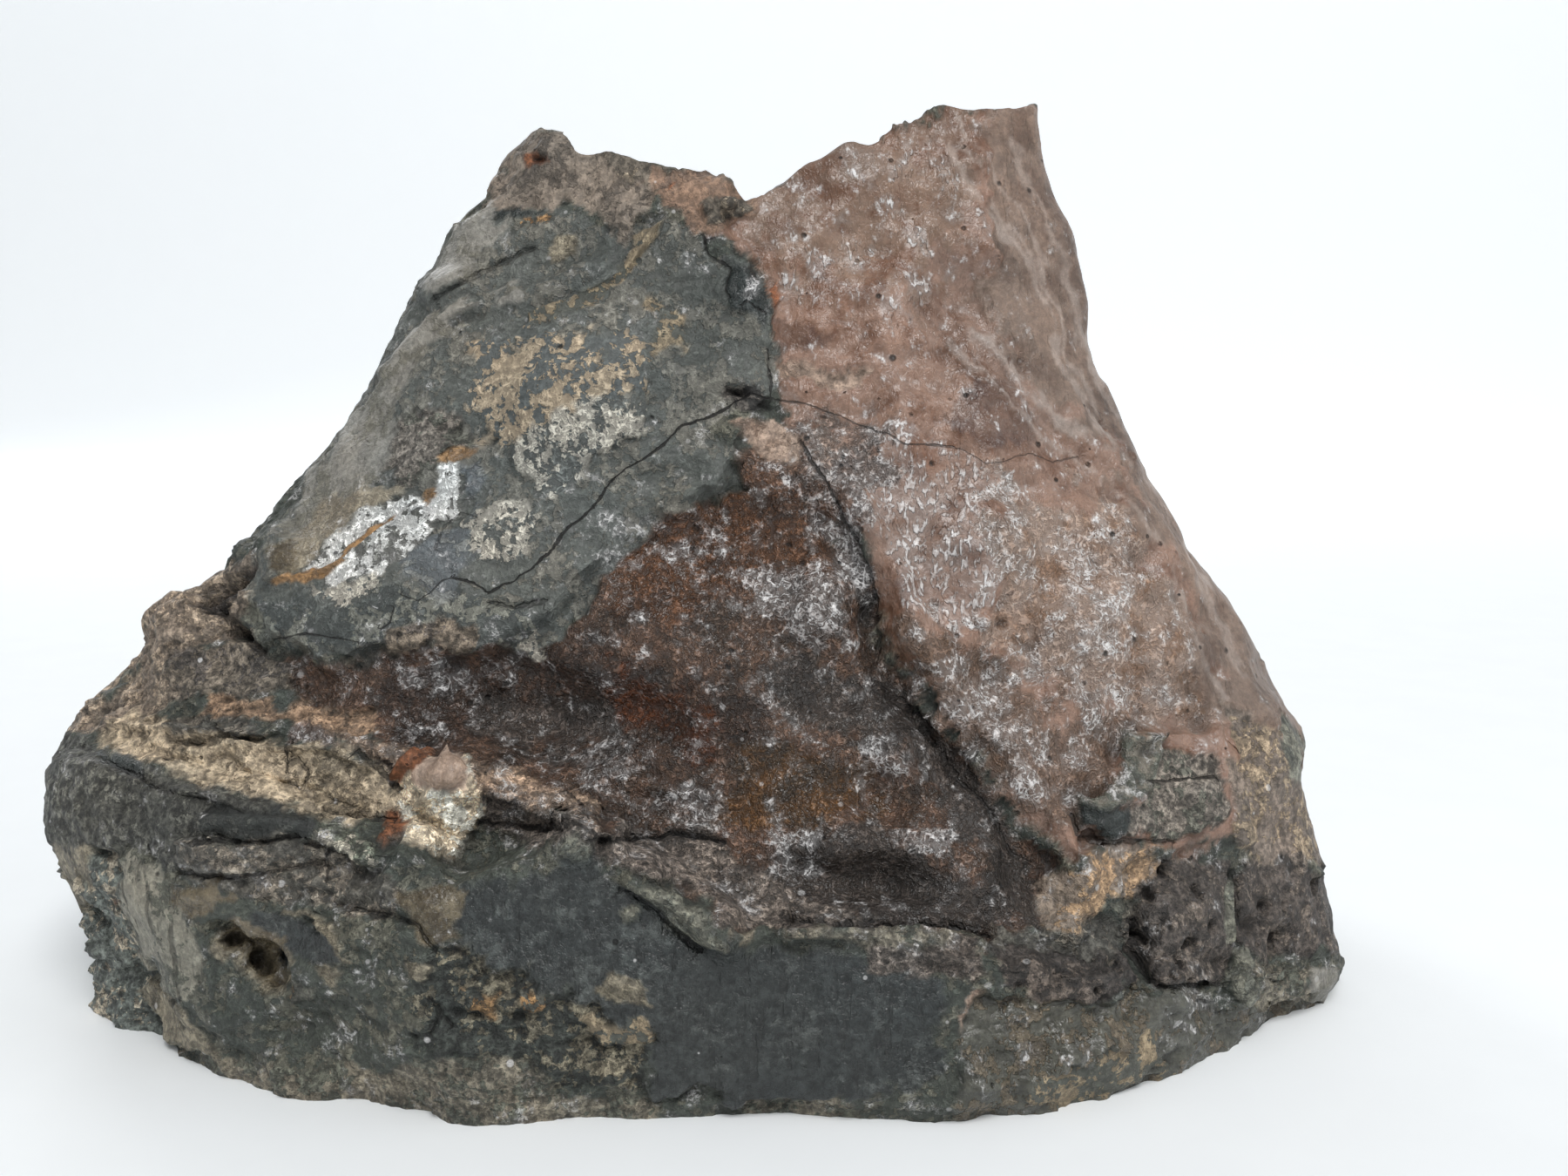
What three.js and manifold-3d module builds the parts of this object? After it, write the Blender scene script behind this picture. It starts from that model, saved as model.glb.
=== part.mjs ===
// Amethyst cluster: a piece of geode wall, sawn flat underneath so that it stands by itself.
//
// Millimetres, +Z up, origin at the middle of the flat base. The weathered outer rind faces -Y: a steep
// slate band at the foot, a ledge, and a lumpy face that leans back to two peaks with a notch between.
// The bed of amethyst crystals grows on the +Y side. The whole piece grew together, so it is one solid.

import * as THREE from 'three';
import { mergeVertices } from 'three/addons/utils/BufferGeometryUtils.js';
import Module from 'manifold-3d';

const wasm = await Module();
wasm.setup();

// ---------------------------------------------------------------- driving sizes

const HEIGHT = 98.5; // base to the higher peak
const LIMB_Y_BASE = -8; // where the rind turns into the hidden side, at the base
const LIMB_Y_TOP = 4; // and at the top

// Left and right edges seen from the front: [height, x].
const LEFT_EDGE = [
  [0, -69.4], [4, -67.4], [7, -68.2], [11, -69.2], [15, -70.8], [20, -72.4], [25, -72.2], [28.5, -70.8],
  [33, -66], [37.5, -61.8], [45, -54.6], [52, -46.8], [56, -43], [62, -38.2], [69, -34.8], [76, -30.2],
  [79, -28.4], [84, -25.6], [87.5, -21.4], [91, -19.6], [95, -16.8], [100, -15.5],
];
const RIGHT_EDGE = [
  [0, 74], [3, 75], [6, 74], [12, 72.6], [20, 71], [27, 70.9], [31, 68.3], [35, 65.8], [40, 63.2],
  [42, 61.9], [49, 57], [57, 52.5], [64, 49.5], [71.5, 46], [78, 44.7], [85, 43], [95, 40.7], [100, 40],
];

// Heights along the width, from the left edge (0) to the right edge (1): [share of the width, height].
const FRONT_RIM = [
  [0, 91.6], [0.03, 94.6], [0.09, 94.2], [0.14, 91.6], [0.21, 90.6], [0.33, 89.6], [0.37, 90.6],
  [0.45, 87.2], [0.48, 87.8], [0.55, 91.2], [0.6, 92], [0.68, 94.6], [0.76, 97.2], [0.85, 97.6],
  [0.93, 98.2], [1, 96.9],
];
const BACK_RIM = [
  [0, 91.6], [0.12, 91], [0.25, 88], [0.4, 86], [0.52, 86], [0.65, 90], [0.8, 94], [0.92, 96], [1, 96.9],
];
const LEDGE = [
  [0, 26.5], [0.08, 28.8], [0.19, 27.6], [0.29, 24.8], [0.33, 24.6], [0.37, 21.6], [0.445, 24.6],
  [0.47, 25], [0.5, 21], [0.545, 17.2], [0.63, 17.2], [0.71, 15.2], [0.8, 11.2], [0.87, 8.4], [0.95, 6.5],
  [1, 6],
];
const LEDGE_RISE = 0.9; // the shelf climbs this much while it steps back

// How far the middle of each side stands out from the limb: [height, distance].
const BAND_REACH = [[0, 33.2], [2, 34], [5, 34.4], [12, 34.4], [20, 33.2], [30, 30.6]];
const FACE_REACH = [
  [4, 32], [12, 30.4], [20, 27.6], [27, 24.6], [36, 21.6], [45, 19.4], [62, 15], [78, 11], [92, 7.6],
  [99, 6.8],
];
const BACK_REACH = [[0, 40.5], [3, 41.5], [20, 39], [45, 30.5], [70, 20], [92, 11.5], [99, 10]];

// Plan of the foot's front edge: [share of the width, share of the reach].
const FOOT_PLAN = [
  [0, 0], [0.03, 0.28], [0.08, 0.44], [0.14, 0.66], [0.2, 0.8], [0.29, 0.91], [0.34, 0.98], [0.4, 0.98],
  [0.46, 0.98], [0.52, 0.95], [0.6, 0.98], [0.68, 1], [0.72, 0.97], [0.77, 0.88], [0.82, 0.75],
  [0.87, 0.59], [0.91, 0.52], [0.95, 0.39], [0.98, 0.25], [1, 0],
];
const FOOT_FADE = 45; // height at which that plan has given way to the smooth one above

// Squareness of the smooth plan curves: 2 is an ellipse, more is boxier.
const ELLIPSE = 2;
const FRONT_SQUARENESS = 2.3;
const BACK_SQUARENESS = 3;

// Mesh fineness: every back column faces COLUMN_RATIO front columns.
const COLUMN_RATIO = 3;
const BACK_COLUMNS = 19;
const FRONT_COLUMNS = BACK_COLUMNS * COLUMN_RATIO;
const BAND_ROWS = 7;
const FACE_ROWS = 25;
const TOP_ROW = BAND_ROWS + 1 + FACE_ROWS;

// The columns are spread evenly over plan curves of about the stone's size: half its width and its reaches.
const PLAN_STEPS = 2000;
const PLAN_HALF_WIDTH = 60;
const FRONT_PLAN_REACH = 25;
const BACK_PLAN_REACH = 32;

// The groove between the two broad faces: [height, share of the width]. One column of the mesh follows it.
const GROOVE_COLUMN = 36;
const GROOVE_HOME = 0.6; // share of the width where that column's heights are read
const GROOVE_TRACK = [
  [0, 0.7], [18.5, 0.76], [27.8, 0.72], [35, 0.69], [42, 0.66], [49.3, 0.65], [55.8, 0.62], [61.5, 0.57],
  [67, 0.56], [76.8, 0.54], [81, 0.5], [89, 0.46], [99, 0.46],
];

// Roughness of the rind and of the broken wall around the crystals: [wavelength, amplitude].
const RIND_ROUGHNESS = [[13, 2.6], [6, 1.5]];
const WALL_ROUGHNESS = [[17, 4.6], [7, 2.4]];
const EDGE_ROUGHNESS = [4, 1.2];
const RIM_CHIPS = [3.6, 2];
const LUMP_EASE = 1.5; // how softly a lump runs out at its edge
const CAP_SWELL = 0.4; // the broken top edge stands this much above its two borders

// ---------------------------------------------------------------- forms of the rind

// Rounded lumps and hollows: [x, z, radius across, radius up, height, turn in degrees].
const LUMPS = [
  [-13.5, 92, 5, 3.5, 1, 0], // left peak
  [-25, 77.4, 7, 2.4, 1.5, 5], // small shelf near the left edge
  [-11.5, 78, 10.5, 2, 1.5, 24], // tan ridge across the grey-green slab
  [-10, 67, 15, 10, 1.8, 0], // belly of the slab
  [-1.5, 57.5, 6, 2.2, -1.2, 10], // torn hollow under the long crack
  [-41.5, 48.8, 3.6, 3.6, 2.4, 0], // clear brown knob at the slab's left end
  [-30, 58, 7, 9, 1.2, -35], // smooth pale flank
  [-12, 35.5, 16, 5, -3.4, -8], // dark hollow under the slab
  [-3, 46, 9, 6, 1.4, 0], // brown skin between the slab and the groove
  [-58, 38, 9, 6, 1, 35], // striped flank at the lower left
  [-42, 29.5, 15, 3, 1.2, -4], // sandy shelf
  [-22, 28, 5.5, 4.6, 3, 0], // sugary quartz knob
  [-8.2, 24.6, 3.4, 1.8, 1.4, 10], // rounded stone on the ledge
  [-38.8, 12.7, 3.6, 2.8, -4.5, -25], // vug in the band
  [-42.8, 15, 2.6, 2, -3, -25],
  [-49, 13, 7, 9, 1, -25], // smooth tan facet
  [14, 45.2, 5, 4, 1.5, 0], // bosses and dips left of the groove
  [22.6, 31.7, 5, 4, 1.6, 0],
  [24.5, 24.2, 5, 3.6, 1.5, 0],
  [15.7, 37.6, 4.6, 4, -1.8, 0],
  [20, 27.4, 5, 3.4, -1.6, 0],
  [19.8, 20.6, 9, 2.6, -2.2, -5], // dark gap behind the ledge
  [33, 51, 8, 7, 1.4, 0], // bosses of the broad right face
  [43, 43, 7, 6, 1.5, 0],
  [38, 33, 8, 6, 1.7, 0],
  [52, 40, 5.5, 7, 1, 20],
  [27, 59, 5, 4, -1, 0],
  [20, 75, 6, 5, 1.2, 0],
  [31, 84, 6, 6, 1.2, 0],
  [34, 68, 6, 6, 1, 0],
  [22, 90, 5, 4, 0.9, 0],
  [52, 13.6, 5.6, 6.6, 2.2, 0], // round basalt knob
  [66, 14, 4.6, 5.6, 1.2, 0], // smaller knob beside it, with a pit under it
  [64.5, 9.3, 2.6, 2.6, -2.4, 0],
  [59.6, 7.2, 2.6, 3.6, 1.8, -15], // green-grey block
];

// Long creases (negative) and crests (positive): { line of [x, z], half width, height }.
const CREASES = [
  {
    // groove between the two broad faces
    line: [[11.8, 61.5], [16.2, 55.8], [19.3, 49.3], [21, 42], [25.4, 35], [31.4, 27.8], [37.2, 18.5]],
    halfWidth: 3.6,
    height: -2.8,
  },
  {
    // its right lip
    line: [[19, 55.8], [23, 47], [24.4, 42], [29, 35.2], [35, 28], [40, 20]],
    halfWidth: 3.4,
    height: 1.8,
  },
  {
    // pinkish lip over the ledge
    line: [[-43, 34], [-33, 32.6], [-26, 30.6], [-18, 29], [-11, 27.2], [-5.5, 25.6]],
    halfWidth: 3.2,
    height: 1.6,
  },
  { line: [[-2.2, 22.4], [2, 20], [6, 17]], halfWidth: 2.4, height: 1.5 }, // leaf-shaped flake
  { line: [[12, 17.6], [22, 17.6], [31, 15.4]], halfWidth: 2.2, height: 1.2 }, // tan lip of the ledge
  { line: [[45, 8], [46.4, 13], [46, 19]], halfWidth: 2, height: -1.6 }, // around the basalt knob
];

// Raised skins with an edge of their own: { outline of [x, z], edge width, height }.
const SKINS = [
  {
    // grey-green slab over the whole upper left
    outline: [
      [-40, 100], [2, 92], [7.6, 81], [10, 76.8], [10.4, 66], [6, 60], [5, 55.8], [-1.2, 54.5], [-6.5, 50],
      [-10, 46], [-10.8, 43.4], [-18.8, 41.6], [-26, 41], [-33.4, 38.8], [-42, 41.5], [-47, 47], [-70, 55],
    ],
    edge: 1.8,
    height: 2.2,
  },
  {
    // olive curl and rough patch at the lower right
    outline: [
      [46.5, 33], [58, 31.5], [60, 20], [50, 19.5], [40.5, 22.5], [41.5, 26.5], [47, 28.5],
    ],
    edge: 1.8,
    height: 1.8,
  },
];

// ---------------------------------------------------------------- crystal bed

const BED_MARGIN = 6; // plain stone left between the bed and the edges
const BED_DEPTH = 4; // the bed lies this much under its rim
const BED_SLOPE = 6; // width over which it sinks
const CRYSTAL_SPACING = 10.8;
const CRYSTAL_RADIUS = [5.9, 2.9]; // smallest, and what the largest has more
const CRYSTAL_JITTER = 3;
const CRYSTAL_ROOT = 9; // length buried in the stone
const CRYSTAL_LEAN = 0.34; // largest lean away from the bed's own direction
const TIP_SLOPE = 1.12; // height of a tip per radius, from quartz's own face angles
const PRISM_SHARE = [0.1, 0.5]; // bare prism under the tip, per radius: least, and what the most has more
const LOWEST_CRYSTAL = 5;
const CRYSTAL_COLUMNS = 9; // on each side of the middle
const CRYSTAL_CLEARANCE = 3; // from the bed's border to the nearest crystal's middle
const TIP_LEAN = 0.5; // sideways play of a tip, per radius
const EDGE_CRYSTAL_REACH = 12; // nearer than this to the stone's edge the crystals are smaller

// Joining and searching.
const SAW_BLOCK = [400, 40]; // width and depth of the block that the saw takes away under the base
const SAME_POINT = 1e-4;
const SAME_HEIGHT = 0.01;

// ---------------------------------------------------------------- small tools

const clamp01 = (value) => Math.min(1, Math.max(0, value));
const mix = (from, to, share) => from + (to - from) * share;
const smoothStep = (value) => value * value * (3 - 2 * value);

// Straight lines through a list of [position, value].
function straight(points, position) {
  let i = 0;
  while (i < points.length - 2 && position > points[i + 1][0]) i += 1;
  const [start, end] = [points[i], points[i + 1]];
  return mix(start[1], end[1], clamp01((position - start[0]) / (end[0] - start[0])));
}

// A smooth curve through the same kind of list.
function flowing(points, position) {
  let i = 0;
  while (i < points.length - 2 && position > points[i + 1][0]) i += 1;
  const slope = (k) => {
    const before = points[Math.max(0, k - 1)];
    const after = points[Math.min(points.length - 1, k + 1)];
    return (after[1] - before[1]) / (after[0] - before[0]);
  };
  const width = points[i + 1][0] - points[i][0];
  const t = clamp01((position - points[i][0]) / width);
  const rise = smoothStep(t);
  const ease = t * (1 - t) * width;
  return mix(points[i][1], points[i + 1][1], rise) + ease * ((1 - t) * slope(i) - t * slope(i + 1));
}

// The same number from 0 to 1 for the same three whole numbers: the tail of a very steep sine wave.
const WAVE_STEPS = [127.1, 311.7, 74.7];
const WAVE_HEIGHT = 43758.5453;

function scatter(i, j, k) {
  const wave = WAVE_HEIGHT * Math.sin(i * WAVE_STEPS[0] + j * WAVE_STEPS[1] + k * WAVE_STEPS[2]);
  return wave - Math.floor(wave);
}

// Smooth lattice noise from -0.5 to 0.5.
function noise(point, wavelength) {
  const at = [point.x, point.y, point.z].map((value) => value / wavelength);
  const cell = at.map(Math.floor);
  const [fx, fy, fz] = at.map((value, axis) => smoothStep(value - cell[axis]));
  let sum = 0;
  for (let corner = 0; corner < 8; corner += 1) {
    const [dx, dy, dz] = [corner & 1, (corner >> 1) & 1, corner >> 2];
    const weight = (dx ? fx : 1 - fx) * (dy ? fy : 1 - fy) * (dz ? fz : 1 - fz);
    sum += weight * scatter(cell[0] + dx, cell[1] + dy, cell[2] + dz);
  }
  return sum - 0.5;
}

function roughness(point, layers) {
  return layers.reduce((sum, [wavelength, amplitude]) => sum + amplitude * noise(point, wavelength), 0);
}

// Distance from (x, z) to a line of points; closed lines also tell inside (negative) from outside.
function distanceToLine(line, x, z, closed) {
  let nearest = Infinity;
  let inside = false;
  const last = closed ? line.length : line.length - 1;
  for (let i = 0; i < last; i += 1) {
    const [ax, az] = line[i];
    const [bx, bz] = line[(i + 1) % line.length];
    const along = clamp01(((x - ax) * (bx - ax) + (z - az) * (bz - az)) / ((bx - ax) ** 2 + (bz - az) ** 2));
    nearest = Math.min(nearest, Math.hypot(x - mix(ax, bx, along), z - mix(az, bz, along)));
    const crosses = az > z !== bz > z && x < ax + ((z - az) / (bz - az)) * (bx - ax);
    if (crosses) inside = !inside;
  }
  return closed && inside ? -nearest : nearest;
}

// ---------------------------------------------------------------- the bare form

const limbY = (z) => mix(LIMB_Y_BASE, LIMB_Y_TOP, z / HEIGHT);

// 1 in the middle of the width, 0 at both limbs.
function planCurve(share, squareness) {
  const off = Math.abs(2 * share - 1) ** squareness;
  return Math.max(0, 1 - off) ** (1 / squareness);
}

function acrossWidth(share, z) {
  return mix(straight(LEFT_EDGE, z), straight(RIGHT_EDGE, z), share);
}

// Rind point: share of the width, and height in rows (whole rows up to BAND_ROWS are the foot band).
function rindPoint(share, row) {
  const ledge = straight(LEDGE, share);
  const onBand = row <= BAND_ROWS;
  const up = clamp01((row - BAND_ROWS - 1) / FACE_ROWS);
  const z = onBand ? (ledge * row) / BAND_ROWS : mix(ledge + LEDGE_RISE, straight(FRONT_RIM, share), up);
  const reach = flowing(onBand ? BAND_REACH : FACE_REACH, z);
  const plan = mix(straight(FOOT_PLAN, share), planCurve(share, FRONT_SQUARENESS), clamp01(z / FOOT_FADE));
  return new THREE.Vector3(acrossWidth(share, z), limbY(z) - reach * plan, z);
}

// Hidden-side point on the same rows, with the crystal bed sunk into it.
function bedPoint(share, row) {
  const leftZ = rindPoint(0, row).z;
  const rightZ = rindPoint(1, row).z;
  const rimShare = mix(leftZ, rightZ, share) / mix(straight(BACK_RIM, 0), straight(BACK_RIM, 1), share);
  const rim = straight(BACK_RIM, share);
  const z = rimShare * rim;
  const x = acrossWidth(share, z);
  const edges = [x - straight(LEFT_EDGE, z), straight(RIGHT_EDGE, z) - x, rim - z];
  const sink = BED_DEPTH * smoothStep(clamp01((Math.min(...edges) - BED_MARGIN) / BED_SLOPE));
  const reach = flowing(BACK_REACH, z) * planCurve(share, BACK_SQUARENESS);
  return new THREE.Vector3(x, limbY(z) + reach - sink, z);
}

// Direction that a surface faces, from two short steps along it; outward is -1 where those face inwards.
function facing(surface, share, row, outward) {
  const step = 0.01;
  const here = THREE.MathUtils.clamp(share, step, 1 - step);
  const low = Math.max(0, row - 0.5);
  const across = surface(here + step, row).sub(surface(here - step, row));
  const up = surface(here, low + 1).sub(surface(here, low));
  return across.cross(up).normalize().multiplyScalar(outward);
}

// ---------------------------------------------------------------- relief of the rind

function lumpHeight([centreX, centreZ, radiusX, radiusZ, height, turn], x, z) {
  const angle = THREE.MathUtils.degToRad(turn);
  const [dx, dz] = [x - centreX, z - centreZ];
  const across = (dx * Math.cos(angle) + dz * Math.sin(angle)) / radiusX;
  const up = (dz * Math.cos(angle) - dx * Math.sin(angle)) / radiusZ;
  return height * Math.max(0, 1 - across * across - up * up) ** LUMP_EASE;
}

function rindRelief(x, z) {
  let height = 0;
  for (const lump of LUMPS) height += lumpHeight(lump, x, z);
  for (const crease of CREASES) {
    const distance = distanceToLine(crease.line, x, z, false);
    height += crease.height * smoothStep(clamp01(1 - distance / crease.halfWidth));
  }
  for (const skin of SKINS) {
    const depthInside = -distanceToLine(skin.outline, x, z, true);
    height += skin.height * smoothStep(clamp01(0.5 + depthInside / skin.edge / 2));
  }
  return height;
}

// The rind point with its relief and roughness; the base row stays flat.
function roughRindPoint(share, row, isRim) {
  const point = rindPoint(share, row);
  const openness = Math.sqrt(planCurve(share, ELLIPSE));
  const height = rindRelief(point.x, point.z) * openness + roughness(point, RIND_ROUGHNESS);
  const atLimb = 1 - openness;
  const edge = EDGE_ROUGHNESS[1] * noise(point, EDGE_ROUGHNESS[0]) * atLimb;
  const moved = point.clone().addScaledVector(facing(rindPoint, share, row, 1), height);
  moved.x += edge * Math.sign(share - 0.5);
  moved.z += isRim ? RIM_CHIPS[1] * noise(point, RIM_CHIPS[0]) : 0;
  if (row === 0) moved.z = 0;
  return moved;
}

function roughBedPoint(share, row, isRim) {
  const point = bedPoint(share, row);
  const height = roughness(point, WALL_ROUGHNESS);
  const moved = point.clone().addScaledVector(facing(bedPoint, share, row, -1), height);
  moved.z += isRim ? RIM_CHIPS[1] * noise(point, RIM_CHIPS[0]) : 0;
  if (row === 0) moved.z = 0;
  return moved;
}

// ---------------------------------------------------------------- the stone as one closed mesh

// Shares of the width that cut a plan curve into stretches of equal length.
function evenShares(columns, squareness, reach) {
  const samples = [];
  let length = 0;
  let before = { x: -PLAN_HALF_WIDTH, y: 0 };
  for (let step = 0; step <= PLAN_STEPS; step += 1) {
    const share = (1 - Math.cos((Math.PI * step) / PLAN_STEPS)) / 2;
    const here = { x: PLAN_HALF_WIDTH * (2 * share - 1), y: reach * planCurve(share, squareness) };
    length += Math.hypot(here.x - before.x, here.y - before.y);
    samples.push([length, share]);
    before = here;
  }
  const shares = [0];
  let at = 0;
  for (let column = 1; column < columns; column += 1) {
    while (samples[at][0] < (length * column) / columns) at += 1;
    shares.push(samples[at][1]);
  }
  return [...shares, 1];
}

// Slides the columns sideways, so that the groove's own column follows its track.
function followGroove(shares, z) {
  const home = shares[GROOVE_COLUMN];
  const track = flowing(GROOVE_TRACK, z);
  return (share) => (share < home ? (share * track) / home : 1 - ((1 - share) * (1 - track)) / (1 - home));
}

function stoneGeometry() {
  const positions = [];
  const triangles = [];
  const addPoint = (point) => positions.push(point.x, point.y, point.z) / 3 - 1;
  const addTriangle = (a, b, c) => {
    if (a !== b && b !== c && c !== a) triangles.push(a, b, c);
  };
  const frontShares = evenShares(FRONT_COLUMNS, ELLIPSE, FRONT_PLAN_REACH);
  const backShares = evenShares(BACK_COLUMNS, BACK_SQUARENESS, BACK_PLAN_REACH);

  const rind = [];
  const bed = [];
  for (let row = 0; row <= TOP_ROW; row += 1) {
    const isRim = row === TOP_ROW;
    const slide = followGroove(frontShares, rindPoint(GROOVE_HOME, row).z);
    rind.push(frontShares.map((share) => addPoint(roughRindPoint(slide(share), row, isRim))));
    bed.push(backShares.map((share, column) => {
      if (column === 0) return rind[row][0];
      if (column === BACK_COLUMNS) return rind[row][FRONT_COLUMNS];
      return addPoint(roughBedPoint(share, row, isRim));
    }));
  }

  for (let row = 0; row < TOP_ROW; row += 1) {
    for (let column = 0; column < FRONT_COLUMNS; column += 1) {
      const [a, b] = [rind[row][column], rind[row][column + 1]];
      const [c, d] = [rind[row + 1][column + 1], rind[row + 1][column]];
      addTriangle(a, b, c);
      addTriangle(a, c, d);
    }
    for (let column = 0; column < BACK_COLUMNS; column += 1) {
      const [a, b] = [bed[row][column], bed[row][column + 1]];
      const [c, d] = [bed[row + 1][column + 1], bed[row + 1][column]];
      addTriangle(a, c, b);
      addTriangle(a, d, c);
    }
  }

  // A strip between a row of the rind and a row of the back, facing up (or down for the base).
  const bridge = (frontRow, backRow, faceUp) => {
    const add = (a, b, c) => (faceUp ? addTriangle(a, b, c) : addTriangle(a, c, b));
    for (let column = 0; column < BACK_COLUMNS; column += 1) {
      const front = frontRow.slice(COLUMN_RATIO * column, COLUMN_RATIO * (column + 1) + 1);
      const [left, right] = [backRow[column], backRow[column + 1]];
      add(front[0], front[1], left);
      add(front[1], right, left);
      for (let step = 1; step < COLUMN_RATIO; step += 1) add(front[step], front[step + 1], right);
    }
  };

  // The sawn base, then the broken top edge with a crest of its own between the two rims.
  bridge(rind[0], bed[0], false);
  const crest = bed[TOP_ROW].map((bedIndex, column) => {
    if (column === 0 || column === BACK_COLUMNS) return bedIndex;
    const front = new THREE.Vector3().fromArray(positions, 3 * rind[TOP_ROW][COLUMN_RATIO * column]);
    const middle = new THREE.Vector3().fromArray(positions, 3 * bedIndex).lerp(front, 0.5);
    middle.z += CAP_SWELL + RIM_CHIPS[1] * noise(middle, RIM_CHIPS[0]);
    return addPoint(middle);
  });
  bridge(rind[TOP_ROW], crest, true);
  for (let column = 0; column < BACK_COLUMNS; column += 1) {
    const [a, b] = [crest[column], crest[column + 1]];
    const [c, d] = [bed[TOP_ROW][column + 1], bed[TOP_ROW][column]];
    addTriangle(a, b, c);
    addTriangle(a, c, d);
  }

  const geometry = new THREE.BufferGeometry();
  geometry.setAttribute('position', new THREE.Float32BufferAttribute(positions, 3));
  geometry.setIndex(triangles);
  return geometry;
}

// ---------------------------------------------------------------- crystals

// One six-sided prism with a six-faced tip that leans a little, standing on the origin along +Z.
function crystalGeometry(radius, prismHeight, tipLean) {
  const tipHeight = prismHeight + TIP_SLOPE * radius;
  const profile = [
    new THREE.Vector2(0, -CRYSTAL_ROOT),
    new THREE.Vector2(radius, -CRYSTAL_ROOT),
    new THREE.Vector2(radius, prismHeight),
    new THREE.Vector2(0, tipHeight),
  ];
  const geometry = new THREE.LatheGeometry(profile, 6).rotateX(Math.PI / 2);
  const position = geometry.getAttribute('position');
  for (let i = 0; i < position.count; i += 1) {
    if (position.getZ(i) > tipHeight - SAME_HEIGHT) position.setXY(i, tipLean.x, tipLean.y);
  }
  return geometry;
}

function crystalSites() {
  const sites = [];
  const rowHeight = (CRYSTAL_SPACING * Math.sqrt(3)) / 2;
  for (let j = 0; j * rowHeight < HEIGHT; j += 1) {
    for (let i = -CRYSTAL_COLUMNS; i <= CRYSTAL_COLUMNS; i += 1) {
      const x = (i + (j % 2) / 2) * CRYSTAL_SPACING + CRYSTAL_JITTER * (scatter(i, j, 1) - 0.5);
      const z = LOWEST_CRYSTAL + j * rowHeight + CRYSTAL_JITTER * (scatter(i, j, 2) - 0.5);
      const left = straight(LEFT_EDGE, z);
      const share = (x - left) / (straight(RIGHT_EDGE, z) - left);
      const rim = straight(BACK_RIM, clamp01(share));
      const clearance = Math.min(x - left, straight(RIGHT_EDGE, z) - x, rim - z);
      const fits = clearance > BED_MARGIN + CRYSTAL_CLEARANCE;
      if (fits) sites.push({ i, j, share, height: z / rim, clearance });
    }
  }
  return sites;
}

// Row of the stone's grid that lies at a share of the full height, on the hidden side.
function rowAtHeight(share, height) {
  const target = height * straight(BACK_RIM, share);
  let [low, high] = [0, TOP_ROW];
  while (high - low > SAME_HEIGHT) {
    const middle = (low + high) / 2;
    if (bedPoint(share, middle).z < target) low = middle;
    else high = middle;
  }
  return low;
}

function crystalAt({ i, j, share, height, clearance }) {
  const row = rowAtHeight(share, height);
  const foot = bedPoint(share, row);
  const outward = facing(bedPoint, share, row, -1);
  outward.x += CRYSTAL_LEAN * (2 * scatter(i, j, 3) - 1);
  outward.z += CRYSTAL_LEAN * (2 * scatter(i, j, 4) - 1);
  outward.normalize();

  const crowding = Math.min(1, clearance / EDGE_CRYSTAL_REACH);
  const radius = crowding * (CRYSTAL_RADIUS[0] + CRYSTAL_RADIUS[1] * scatter(i, j, 5) ** 2);
  const prism = radius * (PRISM_SHARE[0] + PRISM_SHARE[1] * scatter(i, j, 6));
  const lean = new THREE.Vector2(scatter(i, j, 7) - 0.5, scatter(i, j, 8) - 0.5);
  const geometry = crystalGeometry(radius, prism, lean.multiplyScalar(TIP_LEAN * radius));
  geometry.rotateZ(2 * Math.PI * scatter(i, j, 9));
  geometry.applyQuaternion(new THREE.Quaternion().setFromUnitVectors(new THREE.Vector3(0, 0, 1), outward));
  geometry.translate(foot.x, foot.y, foot.z);
  return geometry;
}

// ---------------------------------------------------------------- joining

function toSolid(geometry) {
  const bare = geometry.clone();
  bare.deleteAttribute('normal');
  bare.deleteAttribute('uv');
  const merged = mergeVertices(bare, SAME_POINT);
  const mesh = new wasm.Mesh({
    numProp: 3,
    vertProperties: merged.getAttribute('position').array,
    triVerts: new Uint32Array(merged.getIndex().array),
  });
  return new wasm.Manifold(mesh);
}

function toGeometry(solid) {
  const mesh = solid.getMesh();
  const geometry = new THREE.BufferGeometry();
  geometry.setAttribute('position', new THREE.BufferAttribute(mesh.vertProperties, 3));
  geometry.setIndex(new THREE.BufferAttribute(mesh.triVerts, 1));
  return geometry;
}

function clusterGeometry() {
  let solid = toSolid(stoneGeometry());
  for (const site of crystalSites()) solid = solid.add(toSolid(crystalAt(site)));

  // The saw took everything below the base.
  const [width, depth] = SAW_BLOCK;
  solid = solid.subtract(toSolid(new THREE.BoxGeometry(width, width, depth).translate(0, 0, -depth / 2)));

  // Keep the outer skin alone, so that no pocket is left sealed between crystals.
  const parts = solid.decompose();
  parts.sort((one, other) => other.volume() - one.volume());
  const geometry = toGeometry(parts[0]);

  geometry.computeBoundingBox();
  const middle = geometry.boundingBox.getCenter(new THREE.Vector3());
  geometry.translate(-middle.x, -middle.y, -geometry.boundingBox.min.z);
  geometry.computeVertexNormals();
  return geometry;
}

const stone = new THREE.MeshStandardMaterial({ color: 0x6f6259, roughness: 0.5, metalness: 0 });
const cluster = new THREE.Mesh(clusterGeometry(), stone);
cluster.name = 'amethyst_cluster';

const group = new THREE.Group();
group.add(cluster);

export default group;
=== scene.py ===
"""Looks of the amethyst cluster.

The stone is one closed surface, laid as a grid over the same profiles as the CAD solid and then given the
finer relief and the minerals of the real piece. The profiles are in millimetres in their own frame; the last
step moves them to the row frame and to metres. Minerals are laid on by named areas, whose outlines are pixels
of the 1800 x 1350 reference picture, seen through the camera below.
"""

import math

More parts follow.
